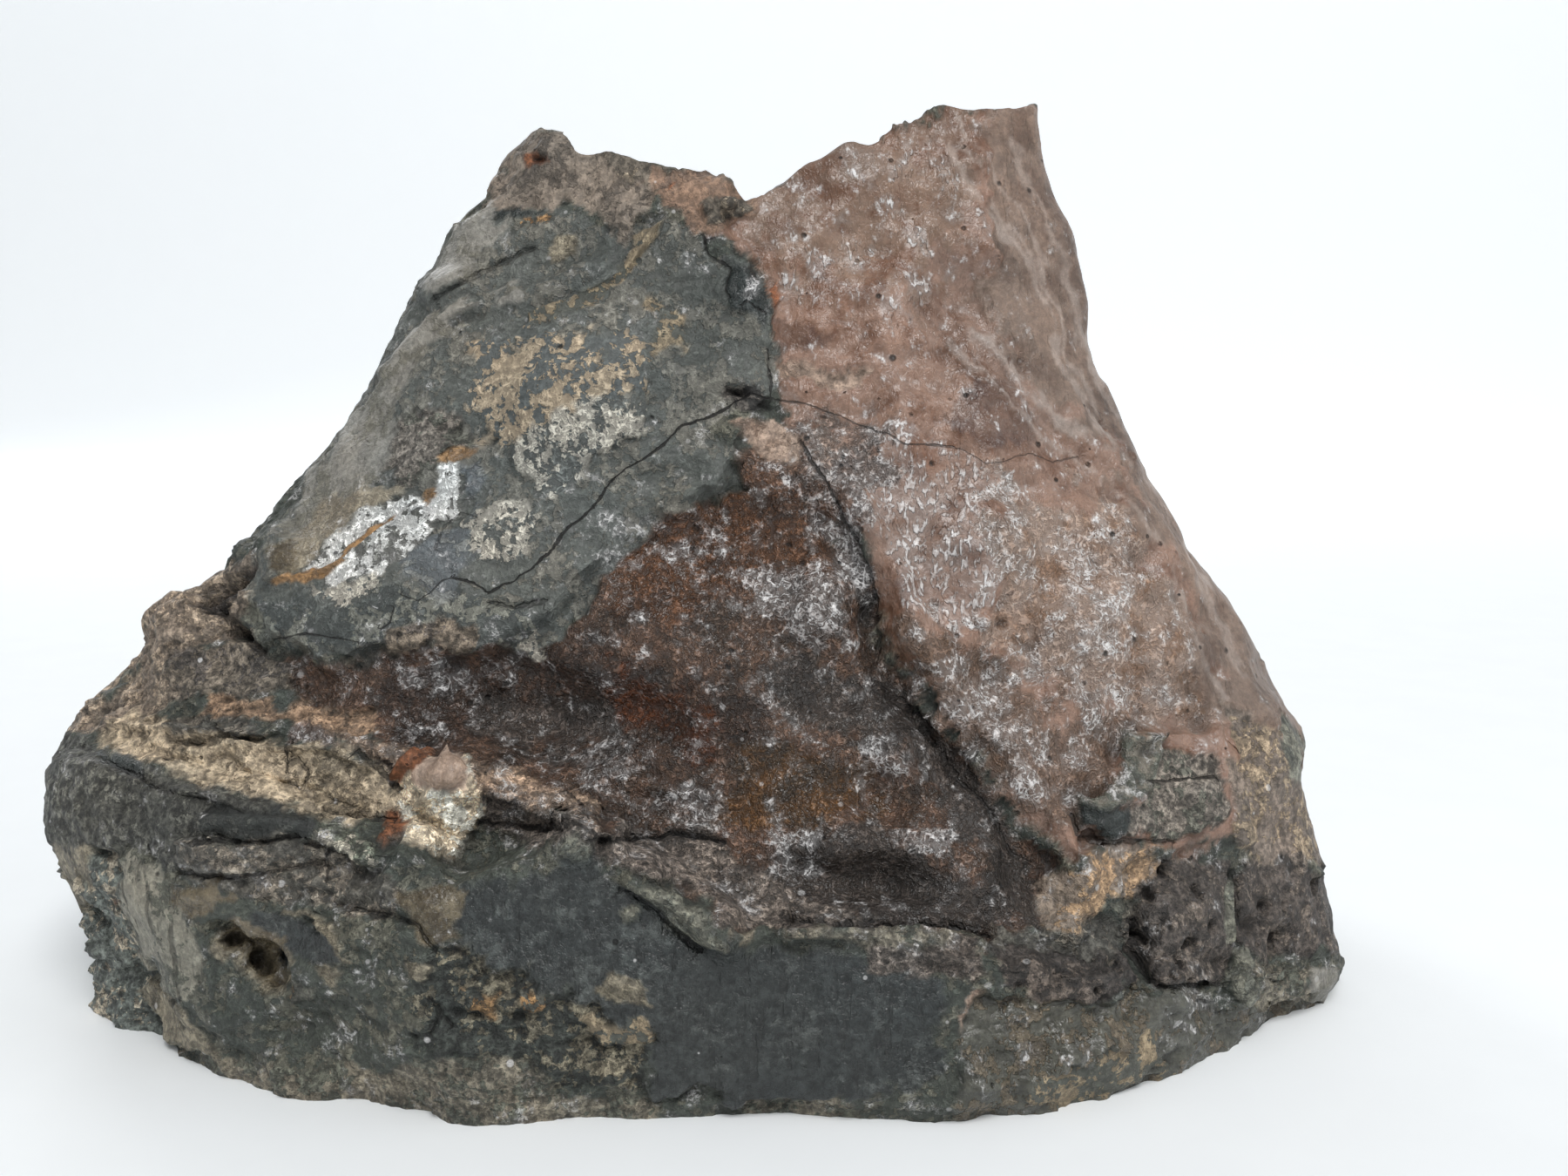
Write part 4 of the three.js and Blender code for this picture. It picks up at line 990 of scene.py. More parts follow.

# Cracks, creases and gaps under lips and knobs: line, half width, depth in mm, and how black their painted
# shade shows. Pixels.
CRACKS = [
    ([
        (884, 458), (862, 452), (845, 460), (830, 470), (800, 482), (780, 490), (762, 508), (735, 530),
        (718, 540), (702, 556), (670, 590), (652, 604), (640, 620), (610, 650), (592, 664), (575, 675),
        (560, 683), (545, 672), (520, 665),
    ], 1.4, 0.1, 1),
    ([(520, 665), (505, 668), (484, 690), (463, 686)], 0.9, 0, 0.8),
    ([(455, 698), (448, 715), (438, 722)], 1.0, 0, 0.9),
    ([(310, 737), (350, 729), (380, 732), (410, 736)], 1.0, 0, 0.8),
    ([
        (888, 458), (915, 462), (940, 470), (985, 485), (1020, 498), (1042, 508), (1075, 510), (1100, 512),
    ], 1.1, 0.04, 0.7),
    ([
        (1075, 510), (1105, 516), (1130, 532), (1150, 530), (1165, 525), (1180, 520), (1210, 530),
        (1240, 522),
    ], 0.8, 0, 0.5),
    ([(807, 268), (812, 290), (838, 310), (832, 330), (838, 342)], 1.3, 0.3, 0.8),
    ([(848, 350), (856, 345), (866, 352), (880, 360)], 1.2, 0.3, 0.8),
    ([(884, 400), (882, 430), (887, 456)], 1.3, 0.3, 0.8),
    ([(917, 507), (942, 544), (960, 574), (975, 614), (991, 645), (1000, 675), (1005, 690)], 2, 0.3, 0.8),
    ([(1005, 690), (1010, 735), (1005, 778), (1030, 800), (1054, 811)], 2, 0.3, 0.5),
    ([
        (1054, 811), (1066, 839), (1091, 879), (1106, 903), (1136, 934), (1155, 971), (1180, 990),
    ], 3, 0.4, 0.6),
    ([(690, 962), (720, 962), (775, 955), (830, 965)], 3, 1.2, 0.9),
    ([(906, 1052), (960, 1058), (1000, 1062), (1080, 1060), (1140, 1072)], 3.4, 1.2, 0.9),
    # the knob's crescent shadow, laid on as a crack of painted shadow
    ([(1303, 1058), (1302, 1090), (1313, 1118), (1342, 1137), (1375, 1136), (1406, 1126)], 4, 1.4, 0.7),
    ([(1416, 1000), (1420, 1040), (1420, 1085)], 3, 0.6, 0.5),
    ([(1315, 896), (1350, 893), (1400, 888)], 1.8, 0.5, 0.9),
    ([(1235, 935), (1240, 955), (1268, 972), (1300, 968), (1350, 966)], 2.4, 0.6, 0.7),
    ([(497, 343), (530, 322), (556, 307), (611, 285)], 3, 0.6, 0.4),
    ([(560, 690), (590, 697), (625, 690)], 3, 0.6, 0.6),
    ([(325, 885), (330, 868), (336, 852)], 1.8, 0.5, 0.9),
    ([(412, 862), (430, 880), (456, 905)], 2.2, 0.6, 0.8),
    ([(236, 966), (270, 966), (300, 968), (345, 957)], 3, 1, 0.9),
    ([(200, 852), (250, 853), (296, 850)], 2.4, 0.6, 0.6),
    ([(258, 700), (272, 722), (296, 746)], 5, 1.2, 0.6),
    ([(712, 1020), (757, 1050), (803, 1092)], 3, 0.8, 0.6),
    ([(650, 905), (662, 918), (678, 936)], 1.6, 0.4, 0.7),
    ([(1005, 790), (1040, 812), (1058, 836), (1080, 868), (1094, 890)], 3, 0.5, 0.4),
    ([(490, 1190), (500, 1170), (492, 1150), (517, 1180)], 2, 0.5, 0.6),
    ([(366, 1010), (370, 975)], 2, 0.5, 0.8),
    ([(205, 1000), (260, 1008), (330, 1000), (364, 990)], 2.4, 0.6, 0.7),
    ([(395, 1040), (440, 1050), (480, 1062), (500, 1090)], 3, 0.6, 0.6),
    ([(498, 630), (508, 604), (530, 588), (548, 594)], 1.2, 0.1, 0.4),
    ([(548, 944), (600, 950), (660, 948), (706, 962)], 3, 0.9, 0.8),
    ([(120, 870), (190, 905), (240, 925)], 2.4, 0.8, 0.7),
    ([(372, 925), (410, 935), (452, 938)], 2.4, 0.7, 0.7),
    ([(340, 868), (352, 885), (346, 905)], 1.8, 0.6, 0.6),
]

# Raised lines: line, half width, height in mm. Pixels.
RIDGES = [
    ([(440, 430), (497, 368), (590, 332)], 12, 0.7),
    ([(610, 362), (648, 346), (715, 312), (758, 257)], 7, 0.6),
    ([(740, 400), (742, 440), (735, 500)], 5, 0.35),
    ([(720, 1010), (777, 1038), (832, 1088)], 11, 1.1),
    ([(1296, 905), (1288, 870), (1300, 848), (1340, 842)], 8, 1.0),
    ([(1235, 915), (1262, 932), (1290, 922), (1318, 900)], 8, 0.9),
    ([(240, 943), (355, 943)], 13, 0.8),
    ([(196, 834), (300, 839)], 9, 0.9),
    ([(846, 1076), (953, 1072), (1045, 1070), (1131, 1088)], 7, 0.8),
    ([(305, 664), (355, 662), (400, 640), (450, 600), (480, 580)], 4, 0.5),
    ([(315, 1047), (364, 1060), (386, 1085), (398, 1100)], 4, 0.5),
    ([(1047, 800), (1084, 838), (1108, 862), (1128, 892)], 7, 0.8),
    ([(1409, 1010), (1416, 1080)], 4, 0.6),
    ([(880, 478), (918, 515)], 8, 0.4),
    ([(448, 898), (478, 866)], 5, 1.0),
    ([(556, 902), (620, 930), (680, 956)], 9, 1.2),
    ([(122, 828), (200, 838), (300, 862), (392, 858), (446, 892)], 7, 0.9),
    ([(509, 872), (500, 905), (478, 925)], 6, 0.8),
    ([(509, 872), (540, 892), (556, 922)], 6, 0.8),
    ([(740, 905), (790, 912), (850, 925)], 9, 0.6),
]

# Lumps and holes: u, v, half width, half height, height in mm, turn in degrees. Pixels.
KNOBS = [
    (258, 678, 42, 10, -3.0, -29),
    (270, 725, 18, 14, -2.2, 20),
    (846, 449, 18, 10, -1.5, 15),
    (878, 468, 13, 7, -1.1, 0),
    (617, 179, 12, 9, -1.2, 0),
    (902, 1050, 14, 9, -2.4, 20),
    (268, 1077, 13, 10, -2.0, 0),
    (303, 1103, 19, 14, -3.0, 30),
    (286, 1088, 7, 6, 1.4, 20),
    (296, 1112, 9, 5, 1.2, 0),
    (320, 1100, 7, 9, 1.3, 0),
    (258, 1070, 6, 5, 1.0, 0),
    (322, 1122, 10, 7, -1.6, 20),
    (1440, 1062, 24, 17, -1.5, 0),
    (1325, 1070, 8, 8, -1.0, 0),
    (1128, 713, 14, 12, 1.1, 0),
    (1150, 716, 11, 6, -1.0, -10),
    (1014, 718, 12, 11, 0.6, 0),
    (812, 241, 11, 8, 1.1, 0),
    (836, 233, 13, 9, 1.3, 0),
    (853, 241, 9, 8, 0.9, 0),
    (724, 1050, 14, 12, 0.9, 0),
    (711, 1131, 30, 13, 0.5, 10),
    (660, 976, 28, 15, 1.0, 0),
    (694, 970, 15, 10, -1.6, 0),
    (510, 889, 28, 16, 1.0, 0),
    (1318, 862, 14, 7, -0.8, 0),
    (1352, 1155, 30, 12, 0.6, 0),
    (498, 1046, 30, 30, 0.8, 0),
    (223, 1028, 28, 14, 0.7, 0),
    (540, 1200, 30, 16, 0.9, 10),
    (640, 1215, 34, 16, 0.9, 0),
    (700, 1240, 28, 14, 0.8, 0),
    (600, 1170, 26, 12, -0.8, 0),
    (1213, 1120, 10, 12, -0.9, 0),
    (1268, 1108, 8, 12, -0.9, 0),
    (1262, 1136, 8, 8, -0.9, 0),
    (311, 838, 11, 9, 0.9, -30),
]

# ------------------------------------------------------------------ the stone's grid


def even_shares(columns, squareness, reach):
    """Shares of the width that cut a plan curve into equal lengths."""
    share = (1 - np.cos(np.linspace(0, math.pi, PLAN_STEPS))) / 2
    x = PLAN_HALF_WIDTH * (2 * share - 1)
    y = reach * plan_curve(share, squareness)
    length = np.concatenate([[0], np.cumsum(np.hypot(np.diff(x), np.diff(y)))])
    return np.interp(np.linspace(0, length[-1], columns + 1), length, share)


def net(grid, flipped=False):
    """Triangles over a grid of vertex numbers, without those that have no area."""
    a, b, c, d = grid[:-1, :-1], grid[:-1, 1:], grid[1:, 1:], grid[1:, :-1]
    corners = [[a, b, c], [a, c, d]]
    triangles = np.concatenate([np.stack(corner, -1).reshape(-1, 3) for corner in corners])
    if flipped:
        triangles = triangles[:, ::-1]
    first, second, third = triangles.T
    return triangles[(first != second) & (second != third) & (third != first)]


def back_points(shares, rows, seams):
    """The hidden side, led over to the shared seams at its two ends."""
    share, row = np.meshgrid(shares, rows)
    plain, rough = bed_point(share, row), rough_bed(share, row)
    for column, seam in seams:
        shift = (seam - plain[:, column])[:, None]
        away = np.linalg.norm(plain - plain[:, [column]], axis=-1)
        rough = plain + mix(shift, rough - plain, smooth(away / SEAM_REACH)[..., None])
    x, z = plain[..., 0], plain[..., 2]
    return rough, clearance(x, z, share), from_ends(x, z)


def between(start, end, lines):
    """Lines of points between two edges, the edges left out."""
    return mix(start, end, np.linspace(0, 1, lines + 1)[1:-1, None, None])


def stone_grid():
    """All points of the stone, with where each one lies and the triangles of each side."""
    band = np.linspace(0, BAND_ROWS, BAND_LINES)
    ledge = np.linspace(BAND_ROWS, BAND_ROWS + 1, LEDGE_LINES)[1:]
    face = np.linspace(BAND_ROWS + 1, TOP_ROW, FACE_LINES)[1:]
    rows = np.concatenate([band, ledge, face])
    front_shares = even_shares(FRONT_COLUMNS, 2, PLAN_REACH)
    front = rough_rind(*np.meshgrid(front_shares, rows))
    ends = [(0, front[:, 0]), (-1, front[:, -1])]
    back, edge, inwards = back_points(even_shares(BACK_COLUMNS, BACK_SQUARENESS, BACK_PLAN_REACH), rows, ends)

    # Each column of the front meets a column of the back, two to one.
    partner = (np.arange(FRONT_COLUMNS + 1) + 1) // 2
    follow = np.arange(FRONT_COLUMNS + 1) / 2
    facing_back = [
        np.stack([np.interp(follow, np.arange(BACK_COLUMNS + 1), line[:, axis]) for axis in range(3)], -1)
        for line in (back[0], back[-1])
    ]
    base = between(front[0], facing_back[0], BASE_LINES)
    cap = between(front[-1], facing_back[1], CAP_LINES)
    across = np.linspace(0, 1, CAP_LINES + 1)[1:-1, None]
    arch = np.sin(math.pi * across)
    cap[..., 2] += arch * (CAP_SWELL + CAP_BREAK * fractal(cap, *CAP_NOISE))
    thickness = np.linalg.norm(facing_back[1] - front[-1], axis=-1)

    blocks = [front, back[:, 1:-1], cap[:, 1:-1], base[:, 1:-1]]
    starts = np.cumsum([0] + [block.shape[0] * block.shape[1] for block in blocks])
    numbers = [
        start + np.arange(block.shape[0] * block.shape[1]).reshape(block.shape[:2])
        for start, block in zip(starts, blocks)
    ]
    front_net, back_net, cap_net, base_net = numbers
    seam = front_net[:, [0, -1]]
    back_net = np.hstack([seam[:, :1], back_net, seam[:, 1:]])

    def framed(inner, row):
        sides = np.repeat(seam[row][None], len(inner), 0)
        inner = np.hstack([sides[:, :1], inner, sides[:, 1:]])
        return np.vstack([front_net[row][None], inner, back_net[row][partner][None]])

    split = BAND_LINES + LEDGE_LINES // 2
    layer = np.concatenate([
        np.zeros(front_net.size),
        inwards[:, 1:-1].ravel(),
        (across * thickness)[:, 1:-1].ravel(),
        np.repeat(BASE_DEPTH * np.linspace(0, 1, BASE_LINES + 1)[1:-1], base_net.shape[1]),
    ])
    side = np.repeat([0, 1, 2, 3], np.diff(starts))
    aside = [np.linalg.norm(front - front[:, [column]], axis=-1) for column in (0, -1)]
    below_rim = np.linalg.norm(front - front[-1:], axis=-1)
    front_edge = np.minimum(np.minimum(*aside), below_rim).ravel()
    return dict(
        edge=np.concatenate([front_edge, edge[:, 1:-1].ravel(), np.zeros(starts[-1] - starts[2])]),
        points=np.concatenate([block.reshape(-1, 3) for block in blocks]),
        layer=layer,
        side=side,
        front=front_net,
        back=back_net,
        foot=net(front_net[: split + 1]),
        face=net(front_net[split:]),
        wall=net(back_net, True),
        cap=net(framed(cap_net, -1)),
        base=net(framed(base_net, 0), True),
    )


def vertex_normals(points, triangles):
    a, b, c = (points[triangles[:, corner]] for corner in range(3))
    flat = np.cross(b - a, c - a)
    total = np.zeros_like(points)
    for corner in range(3):
        for axis in range(3):
            total[:, axis] += np.bincount(triangles[:, corner], flat[:, axis], len(points))
    return total / np.maximum(np.linalg.norm(total, axis=1, keepdims=True), 1e-12)


def blurred(grid, reach):
    """Running mean of a grid of values over a square of places."""
    for axis in (0, 1):
        width = [(reach + 1, reach) if here == axis else (0, 0) for here in (0, 1)]
        total = np.cumsum(np.pad(grid, width, mode="edge"), axis=axis)
        span = 2 * reach + 1
        ahead = np.take(total, np.arange(span, total.shape[axis]), axis=axis)
        behind = np.take(total, np.arange(0, total.shape[axis] - span), axis=axis)
        grid = (ahead - behind) / span
    return grid


# ------------------------------------------------------------------ painting and fine relief

VEIN_EDGE = 1.2  # in half widths of the vein
VEIN_WANDER = 0.9
FAR_FROM_CRACK = 9.0
SMALLEST_GRAIN = 0.3
GRAIN_LEVEL = 0.7
HOLE_WALL = 1.3
NO_HOLE = 0.35  # share of the cells that have no hole


def new_coat(count, base):
    return {key: np.tile(value, (count, 1)).astype(float) for key, value in base.items()}


def paint(coat, mask, layer):
    for key, value in layer.items():
        coat[key] = mix(coat[key], value, mask[:, None])


def area_mask(outline, soft, u, v, wander):
    """1 inside an outline, 0 outside, with a border that wanders more the softer it is."""
    corners = np.array(outline, float)
    low, high = corners.min(0) - 2 * soft, corners.max(0) + 2 * soft
    near = (u > low[0]) & (u < high[0]) & (v > low[1]) & (v < high[1])
    mask = np.zeros(len(u))
    depth = depth_inside(outline, u[near], v[near]) / soft
    mask[near] = smooth(0.5 + (depth + wander[near]) / BORDER_FADE)
    return mask


def paint_rind(coat, points, u, v):
    wander = fractal(points, *BORDER_WANDER)
    for layer, soft, outline in AREAS:
        paint(coat, area_mask(outline, soft, u, v, wander), layer)
    for share, half_width, line in VEINS:
        away = np.abs(line_distance(line, u, v)) / half_width
        paint(coat, share * smooth(VEIN_EDGE - away + VEIN_WANDER * wander), PALE_VEIN)
    for share, soft, outline in GLINT_PATCHES:
        mask = area_mask(outline, soft, u, v, wander)[:, None]
        coat["frost"] = mix(coat["frost"], share, mask)


def paint_section(coat, grid, points):
    """The hidden side, the broken top edge and the sawn base, layer after layer from the rind inwards."""
    depth = grid["layer"] + LAYER_WANDER * fractal(points, *LAYER_STRAY)
    hidden = smooth(grid["layer"] / SEAM_FADE) * (grid["side"] > 0)
    for start, fade, layer in SECTION:
        paint(coat, hidden * smooth((depth - start) / fade), layer)


def crack_marks(u, v, front):
    """For each place: distance to the nearest crack in half widths, how near and how black it is as painted
    shade, and groove depth.
    """
    side = np.full(len(u), FAR_FROM_CRACK)
    near = np.zeros(len(u))
    dent = np.zeros(len(u))
    closest = np.full(len(u), np.inf)
    for line, half_width, depth, blackness in CRACKS:
        distance = line_distance(line, u, v)
        away = np.abs(distance)
        dent += depth * smooth(1 - away / (half_width + CRACK_SLOPE))
        nearer = away < closest
        side = np.where(nearer, distance / half_width, side)
        near = np.where(nearer, blackness * smooth(2 - away / CRACK_NEAR), near)
        closest = np.minimum(closest, away)
    return side, near * front, dent * front


def fine_relief(coat, points, u, v, front):
    """Height in mm of what is too small for the form."""
    value = {key: coat[key][:, 0] for key in ("bumps", "swell", "plates", "grains", "holes")}
    height = value["bumps"] * fractal(points, *BUMP_NOISE) + value["swell"] * fractal(points, *SWELL_NOISE)
    layered = fractal(points * PLATE_STRETCH, *PLATE_NOISE)
    height += value["plates"] * terraces(2 * layered, PLATE_STEP, PLATE_SHARPNESS)
    distance, number = cells(points, *GRAIN_CELLS)
    height += value["grains"] * mix(SMALLEST_GRAIN, 1, number) * (GRAIN_LEVEL - distance)
    distance, number = cells(points, *HOLE_CELLS)
    hole = smooth(HOLE_WALL * (1 - distance / mix(*HOLE_RADIUS, number)))
    height -= HOLE_DEPTH * value["holes"] * hole * (number > NO_HOLE)
    for line, half_width, rise in RIDGES:
        height += front * rise * smooth(1 - np.abs(line_distance(line, u, v)) / half_width)
    for knob in KNOBS:
        height += front * lump_height(knob, u, v)
    return height


def edge_break(points, edge):
    """Extra crumbling along the broken edges of the rind: distance to the edge in mm."""
    return smooth(1 - edge / EDGE_REACH) * CRUMB_HEIGHT * fractal(points, *CRUMB_NOISE)


def finished_stone():
    """The stone's points, normals, coat and marks."""
    grid = stone_grid()
    points = grid["points"]
    walls = np.concatenate([grid[name] for name in ("foot", "face", "wall", "cap")])
    normals = vertex_normals(points, walls)

    stray = np.stack([fractal(points, *layer) for layer in PICTURE_STRAY], -1)
    u, v = picture_place(points + OUTLINE_STRAY * stray)
    front = (grid["side"] == 0).astype(float)
    coat = new_coat(len(points), OLIVE_BAND)
    paint_rind(coat, points, u, v)
    paint_section(coat, grid, points)
    exact_u, exact_v = picture_place(points + LINE_STRAY * stray)
    side, near, dent = crack_marks(exact_u, exact_v, front)
    calm = mix(CALM_EDGE, 1, smooth(grid["edge"] / EDGE_REACH))
    height = calm * fine_relief(coat, points, exact_u, exact_v, front) - dent
    height += edge_break(points, grid["edge"])

    # Painted shade in the hollows: how far each place lies below the running mean of its neighbours.
    cavity = np.zeros(len(points))
    for net_name in ("front", "back"):
        shape = height[grid[net_name]]
        cavity[grid[net_name]] = blurred(shape, CAVITY_REACH) - shape
    foot = (grid["side"] == 3) | (points[:, 2] <= 0)
    normals_out = np.where(foot[:, None], normals * (1, 1, 0), normals)
    moved = points + np.where(grid["side"] == 3, 0, height)[:, None] * normals_out
    moved[:, 2] = np.maximum(moved[:, 2], 0)
    marks = dict(side=side, near=near, shade=smooth(cavity / CAVITY_DEPTH))
    return grid, moved, vertex_normals(moved, walls), coat, marks


# ------------------------------------------------------------------ shaders


# Noises: scale, detail, roughness and distortion.
WORM_NOISE = (880, 2, 0.5, 1.0)
FINE_NOISE = (850, 4, 0.75)
CLUMP_NOISE = (380, 5, 0.75)
SAND_NOISE = (1500, 3, 0.7)
PATCH_NOISE = (210, 5, 0.7)
BROAD_NOISE = (75, 3, 0.6)
DROP_NOISE = (1900, 2, 0.5)
RILL_NOISE = (800, 3, 0.6)
LOW_NOISE = (480, 2, 0.5)
CLOUD_NOISE = (140, 2, 0.5)
WEAVE_NOISE = (60, 3, 0.6)
MIDDLE = 0.5
DROP_STRETCH = (1, 1, 0.42)
RILL_STRETCH = (1, 1, 0.2)
SPOTS_PER_METRE = 520.0

# Ramps: a value from the first number to the second becomes the third to the fourth, or 0 to 1.
WORM_LINE = (0.02, 0.085, 1, 0)
WORM_GAPS = (0.38, 0.56, 0.15, 1)
GRASS_LINE = (0.015, 0.07, 1, 0)
GRASS_GAPS = (0.44, 0.6)
TINT_CHANGE = (0.3, 0.7)
GRIT_CONTRAST = (-0.25, 1.0)
MOTTLE = (0.34, 0.66, 0.4, 1.6)
SPECKLE = (0.32, 0.68, 0.45, 1.55)
RIDGE_LIGHT = (0, 1, 0.7, 1.5)
DROPS = (0.5, 0.62)
GRAINY = (0.0, 0.5)
GLINT_START = (0.0, 0.05)
GLINT_LIGHT = (0.0, 1.0, 0.12, 1)
GLINT_CLUMPS = (0.42, 0.66, 0.45, 1)
SPOT_SIZE = (0, 1, 0.35, 1.2)
PIT_WALL = (0.08, 0.2, 1, 0)
PIT_CLUMPS = (0.4, 0.56)
CRUMB_WALL = (0.12, 0.2, 0.75, 0)
RILLS = (0.54, 0.66)
CRACK_WIDTH = (0.35, 0.65, 1.6, 0.7)
CRACK_WALL = (0.5, 1.25, 1, 0)
QUARTZ_ZONES = (0.1, 0.95)
WEAVE_LIGHT = (0.3, 0.7, 0.985, 1.0)
CLOTH_ACROSS = (-1.0, 1.0, 0.0, 0.05)
CLOTH_AWAY = (0.0, 0.8)

# Shares and edges of the rind's second tone, threads, painted glints, pale crumbs and painted shade.
COVER_LIMIT = (-0.34, 0.67)
SOFT_OR_CRISP = (0.1, 0.01)
PATCH_RAGGED = 0.4
CRUST_THREADS = 0.6
GLINT_EDGE = 0.1
GAP_SHADE = 0.15
CRUMB_CHANCE = 0.9
CRACK_WANDER = 3.0
DULL_IN_SHADE = 0.4

# How dark the painted shade in pits, cracks, rills and hollows is.
PIT_DARK = 0.85
CRACK_DARK = 0.92
RILL_DARK = 0.55
SHADE_DARK = 0.5

# How far each feature rises or sinks, in shares of BUMP_DISTANCE.
RELIEF = dict(web=0.35, drops=0.5, low=0.4, sand=0.9, crust=0.3, pit=-1.0, crack=-1.2, rill=-0.5)
FINE_RELIEF = (0.05, 0.6)
BUMP_DISTANCE = 0.0005

QUARTZ_CLEAR = 0.92
QUARTZ_INDEX = 1.544
QUARTZ_ROUGHNESS = 0.02
QUARTZ_DENSITY = 60
QUARTZ_CLOUDS = 0.4
CLOTH_ROUGHNESS = 0.9
CLOTH_LIGHT = 0.385


def new_material(name):
    material = bpy.data.materials.new(name)
    material.use_nodes = True
    tree = material.node_tree
    tree.nodes.clear()
    output = tree.nodes.new("ShaderNodeOutputMaterial")
    shader = tree.nodes.new("ShaderNodeBsdfPrincipled")
    tree.links.new(shader.outputs[0], output.inputs[0])
    return material, shader, output


def fill(node, inputs):
    """Sets a node's inputs: numbers, colours or other nodes' outputs."""
    for key, value in inputs.items():
        if isinstance(value, Wire):
            node.id_data.links.new(value.socket, node.inputs[key])
        else:
            node.inputs[key].default_value = value


def add(shader, kind, inputs, result=0, **settings):
    """A new node in the shader's material, and what comes out of it."""
    made = shader.id_data.nodes.new("ShaderNode" + kind)
    for key, value in settings.items():
        setattr(made, key, value)
    fill(made, inputs)
    return Wire(shader, made.outputs[result])


class Wire:
    """What comes out of a node. It is added up and multiplied like a number."""

    def __init__(self, shader, socket):
        self.shader = shader
        self.socket = socket

    def maths(self, operation, *values):
        return add(self.shader, "Math", dict(enumerate(values)), operation=operation)

    def __add__(self, other):
        return self.maths("ADD", self, other)

    def __mul__(self, other):
        return self.maths("MULTIPLY", self, other)

    def __truediv__(self, other):
        return self.maths("DIVIDE", self, other)

    def __sub__(self, other):
        return self.maths("SUBTRACT", self, other)

    def __abs__(self):
        return self.maths("ABSOLUTE", self)

    def __lt__(self, other):
        return self.maths("LESS_THAN", self, other)

    def __gt__(self, other):
        return self.maths("GREATER_THAN", self, other)

    def or_more(self, other):
        """The larger of the two."""
        return self.maths("MAXIMUM", self, other)

    def turned_over(self):
        """0 becomes 1 and 1 becomes 0."""
        return self.maths("SUBTRACT", 1.0, self)

    def scaled(self, low, high, start=0.0, end=1.0):
        """From low to high it becomes start to end, with soft ends."""
        inputs = {"Value": self, "From Min": low, "From Max": high, "To Min": start, "To Max": end}
        return add(self.shader, "MapRange", inputs, interpolation_type="SMOOTHSTEP")

    def between(self, first, second):
        """A number between two others."""
        return add(self.shader, "Mix", {0: self, 2: first, 3: second})

    def between_tones(self, first, second):
        return add(self.shader, "Mix", {0: self, 6: first, 7: second}, 2, data_type="RGBA")

    def beside(self, name):
        """What else comes out of the same node."""
        return Wire(self.shader, self.socket.node.outputs[name])

    def axes(self):
        return [add(self.shader, "SeparateXYZ", {0: self}, axis) for axis in range(3)]

    def stretched(self, *shares):
        return add(self.shader, "VectorMath", {0: self, 1: shares}, operation="MULTIPLY")

    def noise(self, scale, detail, roughness, distortion=0.0):
        inputs = dict(Scale=scale, Detail=detail, Roughness=roughness, Distortion=distortion)
        return add(self.shader, "TexNoise", {"Vector": self, **inputs})

    def as_grey(self):
        return add(self.shader, "CombineColor", {0: self, 1: self, 2: self})

    def painted(self, share, tone, kind="MIX"):
        """A colour with some of another colour over it."""
        inputs = {0: share, 6: self, 7: tone}
        return add(self.shader, "Mix", inputs, 2, data_type="RGBA", blend_type=kind)


def share_over(field, share, edge):
    """Where a field of noise is high enough to cover about this share of the surface."""
    limit = share.maths("MULTIPLY_ADD", share, *COVER_LIMIT)
    return ((field - limit) / edge).scaled(-1, 1)


